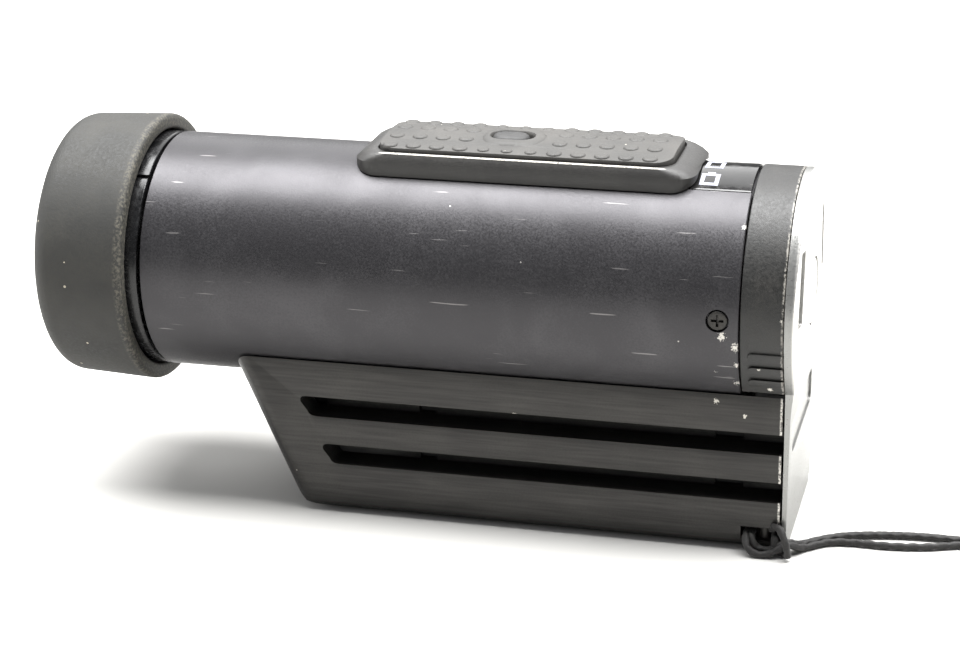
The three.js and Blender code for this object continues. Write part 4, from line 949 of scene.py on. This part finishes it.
pad_section = [(-pad_half, rim_top - 0.5), (pad_half, rim_top - 0.5)]
for step in range(crown_steps + 1):
    y = pad_half * (1 - 2 * step / crown_steps)
    pad_section.append((y, crown(y)))
pad = prism("dotted_slider_pad", pad_section, "x", pad_front, pad_rear)
pad_outline = rounded(pad_front, pad_rear, pad_half, 2.5, 10)
combine(pad, prism("pad_outline", pad_outline, "z", rim_top - 1, rim_top + 3), "INTERSECT")
soften(pad, 0.3, 3, 40)
lock_low, lock_high = span("lock_button")
well_front = lock_low[0] - 0.15
well_rear = lock_high[0] + 0.65
well_half = lock_high[1] + 0.15
boss_x = -32.7
boss_half_length = 4.4
boss_half_width = 3.75
boss_top = pad_high[2] - 0.2
boss_steps = [(pad_crown - 0.2, 0, 0), (pad_crown, 0.2, 0.2), (boss_top - 0.1, 0.5, 0.5),
              (boss_top - 0.02, 0.85, 0.85), (boss_top, 1.15, 1.15)]
combine(pad, stepped("boss", boss_x - boss_half_length, boss_x + boss_half_length, boss_half_width, 3.4,
                     rim_top, boss_steps, 10), "UNION")
well_steps = [(boss_top - 0.45, 0, 0), (boss_top - 0.12, -0.1, -0.1), (boss_top + 0.3, -0.45, -0.45)]
combine(pad, stepped("well", well_front, well_rear, well_half, well_half - 0.1, rim_top - 0.1,
                     well_steps, 10))

# Four rows of dots, dished in the middle. The middle rows leave room for the boss, and the
# outer ones are smaller beside it.
dot_pitch = 3.17
dot_first = -48.3
dots_per_row = 12
inner_row = 1.95
outer_row = 5.35
dot_pieces = []
for y in (-outer_row, -inner_row, inner_row, outer_row):
    for count in range(dots_per_row):
        x = dot_first + count * dot_pitch
        if abs(y) == inner_row and abs(x - boss_x) < boss_half_length + 1.6:
            continue
        beside_boss = abs(y) == outer_row and abs(x - boss_x) < boss_half_length - 0.2
        size = 0.78 if beside_boss else 1.0
        seat = crown(y)
        dot_profile = [(seat - 0.3, 1.1 * size), (seat - 0.02, 1.06 * size),
                       (seat + 0.12 * size, 0.92 * size), (seat + 0.2 * size, 0.7 * size),
                       (seat + 0.17 * size, 0.48 * size), (seat + 0.08 * size, 0.2 * size)]
        dot_pieces.append(turned("dot", dot_profile, 28, centre=(x, y), upright=True))
bpy.ops.object.select_all(action="DESELECT")
for dot in dot_pieces:
    dot.select_set(True)
bpy.context.view_layer.objects.active = dot_pieces[0]
bpy.ops.object.join()
combine(pad, dot_pieces[0], "UNION")

# Soft-touch rubber: matt warm grey-black, with paler dusty patches and pale specks.
soft = grained("soft_touch_rubber", "353432", "44423f", 0.6, grain=0.35, patch=6.0, depth=0.03)
specks(soft, "b0aba1", 1.9, 0.16, 0.13)
dress(pad, soft, "slider_rubber", "record_slider", "slider_pad", smooth=40)

pill_top = pad_high[2]
pill_steps = [(pill_top - 0.6, 0, 0), (pill_top - 0.3, 0.15, 0.15), (pill_top - 0.12, 0.45, 0.45),
              (pill_top - 0.03, 0.9, 0.9), (pill_top, 1.4, 1.4)]
pill = stepped("lock_pill", lock_low[0], lock_high[0], lock_high[1], lock_high[1] - 0.05, lock_low[2],
               pill_steps, 12)
dress(pill, moulded, "gloss_black_plastic", "lock", "lock_button", smooth=50)

# ---- Rear door -------------------------------------------------------------------------
# A moulded band that carries on the barrel's curve, with three finger ribs low on each side.
# Runners on its inner web slide on the bulkhead's guides, and it is faced with a metal plate.
door_low, door_high = span("door_frame")
door_rear = door_high[0]
door_front = door_low[0]
door_inner = barrel_radius - 1.6
door_bore = 5.6
door_foot = door_low[2]
web_front = door_rear - 1.2
door_profile = [(door_front, door_inner), (web_front, door_inner), (web_front, door_bore),
                (door_rear, door_bore), (door_rear, barrel_radius - 0.25),
                (door_rear - 0.08, barrel_radius - 0.07), (door_rear - 0.25, barrel_radius),
                (door_front + barrel_break, barrel_radius), (door_front, barrel_radius - barrel_break)]
door = turned("moulded_door_band", door_profile, 256, closed=True)
combine(door, block("below", (door_front - 1, -20, -20), (door_rear + 1, 20, door_foot)))
guide_y = barrel_bore - 5.25
runner_front = 1.7
runner_foot = door_foot + 0.05
runner_top = door_foot + 8.1
for side in (-1, 1):
    for edge in (-1, 1):
        for name, inner, rear in (("wall", 1.5, web_front + 0.1), ("lip", 0.8, runner_front + 0.8)):
            low, high = sorted((side * guide_y + edge * inner, side * guide_y + edge * 2.3))
            combine(door, block(name, (runner_front, low, runner_foot), (rear, high, runner_top)), "UNION")
rib_half = 0.55
rib_front = 1.2
rib_profile = [(0.5, barrel_radius - 0.6), (door_rear + 1, barrel_radius - 0.6),
               (door_rear + 1, barrel_radius + 0.3), (0.5, barrel_radius + 0.3)]
for side in (-1, 1):
    for rib_z in (-3.85, -5.9, -7.9):
        rib_outline = [(door_rear - 0.05, rib_z - rib_half), (door_rear - 0.05, rib_z + rib_half)]
        rib_outline += arc((rib_front + rib_half, rib_z), rib_half, 90, 270, 12)
        low, high = sorted((side * 12.0, side * 18.0))
        rib = prism("rib", rib_outline, "y", low, high)
        combine(rib, turned("rib_shell", rib_profile, 192, closed=True), "INTERSECT")
        soften(rib, 0.1, 2, 40)
        combine(door, rib, "UNION")

# Leather-grained moulding: black, coarser than the barrel, with a rubbed rear edge.
leathery = grained("leather_grained_moulding", "171716", "22211f", 0.5, grain=0.42, patch=5.0, depth=0.06,
                   reach=(0.2, 0.38))
specks(leathery, "b5b2aa", 1.8, 0.16, 0.13)
door_edge = along(leathery, "X", door_rear - 0.35, door_rear - 0.2)
lay_wear_and_light(leathery, "9f9b94", door_edge, broken=(0.42, 0.55, 0.7))
chips(leathery, "bdb9b0", ((3.9, -13.6, -9.0, 0.45), (2.6, -15.4, -5.6, 0.3), (5.4, -16.0, 1.5, 0.4)))
dress(door, leathery, "door_plastic", "rear_door", "door_frame")

# ---- Rear plate ------------------------------------------------------------------------
# A blasted aluminium facing that covers the door and the base's rear end. It bows out
# behind the barrel and has a finger recess low down and a round power button.
face_low, face_high = span("rear_plate")
plate_front, plate_crest = face_low[0], face_high[0]
plate_foot = face_low[2]
leg_angle = math.degrees(math.atan2(crease + 0.25, base_half))
face_outline = arc((0, 0), barrel_radius, leg_angle, 180 - leg_angle, 120)
face_outline += arc((-base_half + side_radius, plate_foot + side_radius), side_radius, 180, 270, 10)
face_outline += arc((base_half - side_radius, plate_foot + side_radius), side_radius, 270, 360, 10)
face = prism("bowed_rear_plate", face_outline, "x", plate_front, plate_crest + 1)
edge_x = plate_front + 1.0
foot_x = plate_front + 0.7


def curve(start, pull, end, steps=12):
    """Points on a quadratic curve, without its first."""
    places = []
    for step in range(1, steps + 1):
        t = step / steps
        places.append(tuple((1 - t) ** 2 * a + 2 * t * (1 - t) * b + t * t * c
                            for a, b, c in zip(start, pull, end)))
    return places


profile = [(plate_front, 20), (edge_x, 20), (edge_x, barrel_radius)]
profile += curve(profile[-1], (plate_crest + 0.05, barrel_radius * 0.62), (plate_crest, barrel_radius * 0.2))
profile += curve(profile[-1], (plate_crest - 0.05, crease * 0.75), (edge_x - 0.1, crease * 1.12))
profile += curve(profile[-1], (foot_x, crease * 1.3), (foot_x, crease * 1.7))
profile += [(foot_x - 0.2, -40), (plate_front, -40)]
combine(face, prism("face_profile", profile, "y", -20, 20), "INTERSECT")
bow_radius = 210
combine(face, turned("bow", [(-41, bow_radius), (21, bow_radius)], 1200, upright=True,
                     centre=(plate_crest - bow_radius, 0)), "INTERSECT")
soften(face, 0.2, 3, 40)
button_radius = 4.4
button_hole = button_radius + 0.2
combine(face, turned("button_hole", [(plate_front - 1, button_hole), (plate_crest + 1, button_hole)], 96))
grip_z = -17.0
grip_outline = [(y, z + grip_z) for y, z in rounded(-9.8, 9.8, 2.4, 1.2)]
combine(face, prism("grip", grip_outline, "x", foot_x - 0.3, plate_crest + 1))
window_y = 10.9
window_z = 3.9
lean = math.radians(8)
for side, label in ((-1, "near"), (1, "far")):
    for margin, name, x0, x1 in ((0, "window_hole", plate_front - 1, plate_crest + 1),
                                 (-0.12, f"status_pane_{label}", plate_front + 0.1, plate_front + 0.6)):
        pane_outline = []
        for u, v in rounded(-1.4 - margin, 1.4 + margin, 4.9 + margin, 0.5, 5):
            pane_outline.append((side * window_y + u * math.cos(lean) - side * v * math.sin(lean),
                                 window_z + v * math.cos(lean) + side * u * math.sin(lean)))
        pane = prism(name, pane_outline, "x", x0, x1)
        if margin == 0:
            combine(face, pane)
        else:
            soften(pane, 0.1, 2, 40)
            dress(pane, moulded, "gloss_black_plastic", "rear_door", f"status_window_{label}")

# Clear anodised aluminium: pale satin, its blasted face almost white under soft light.
silver = grained("blasted_clear_anodising", "bcbbb8", "cbc9c5", 0.34, 0.75, patch=9.0, depth=0.01)
specks(silver, "8b8882", 3.0, 0.10, 0.12)
# The plate's side edge, in front of edge_x, is painted mid grey: painted shade, darker than the lit rear
# face.
lay_wear_and_light(silver, "8a8a88", along(silver, "X", edge_x + 0.1, edge_x - 0.1))
dress(face, silver, "silver_aluminium", "rear_door", "rear_plate")

button_low, button_high = span("power_button")
button_front, button_rear = button_low[0], button_high[0]
button_profile = [(button_front, 1.0), (button_front, 5.3), (button_front + 0.5, 5.3),
                  (button_front + 0.5, button_radius), (button_rear - 0.25, button_radius),
                  (button_rear - 0.07, 4.32), (button_rear, 4.15), (button_rear, 3.7),
                  (button_rear - 0.15, 3.3), (button_rear - 0.2, 1.0)]
button = turned("dished_power_button", button_profile, 128)
dress(button, silver, "silver_aluminium", "power", "power_button")

# ---- Pieces inside ---------------------------------------------------------------------
# The lens stack, bearing, boards, battery and bulkhead keep their modelled shapes. Each is
# finished as the bought-in or moulded part that it is.
for finish, nodes in (
        (moulded, ("head_bearing", "rear_bulkhead", "memory_card", "processor", "image_sensor",
                   "hall_sensor")),
        (grained("moulded_nitrile", "1c1c1b", "2b2a29", 0.5, grain=0.5, patch=3.0, depth=0.01),
         ("head_seal",)),
        (grained("solder_masked_laminate", "123d22", "1f5a33", 0.35, grain=0.5, patch=2.0, depth=0.02),
         ("main_board", "sensor_board", "switch_board")),
        (grained("tinned_sheet_steel", "9c9d9c", "c2c3c2", 0.34, 0.9, grain=0.6, patch=4.0, depth=0.006),
         ("card_slot", "usb_socket", "microphone")),
        (grained("ground_magnet_steel", "8e8f91", "b4b5b7", 0.3, 1.0, grain=0.4, patch=3.0, depth=0.006),
         ("slider_magnet",)),
        (grained("battery_shrink_wrap", "1c2c52", "2b3f6d", 0.3, grain=0.9, patch=6.0, depth=0.02),
         ("battery",)),
        (grained("moulded_white_acetal", "d2d1cc", "e4e3de", 0.45, patch=3.0, depth=0.01),
         ("mode_switch",)),
        (oxide, ("base_screw_front", "base_screw_rear")),
        (brass, ("battery_contacts",)),
        (blasted, ("lens_tube", "lens_spacer")),
        (glass, ("rear_lens",))):
    for node in nodes:
        inner_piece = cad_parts[node]
        inner_piece.data.materials.clear()
        inner_piece.data.materials.append(finish.material)

size = {"cad": cad_box, "visual": [list(corner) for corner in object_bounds()]}
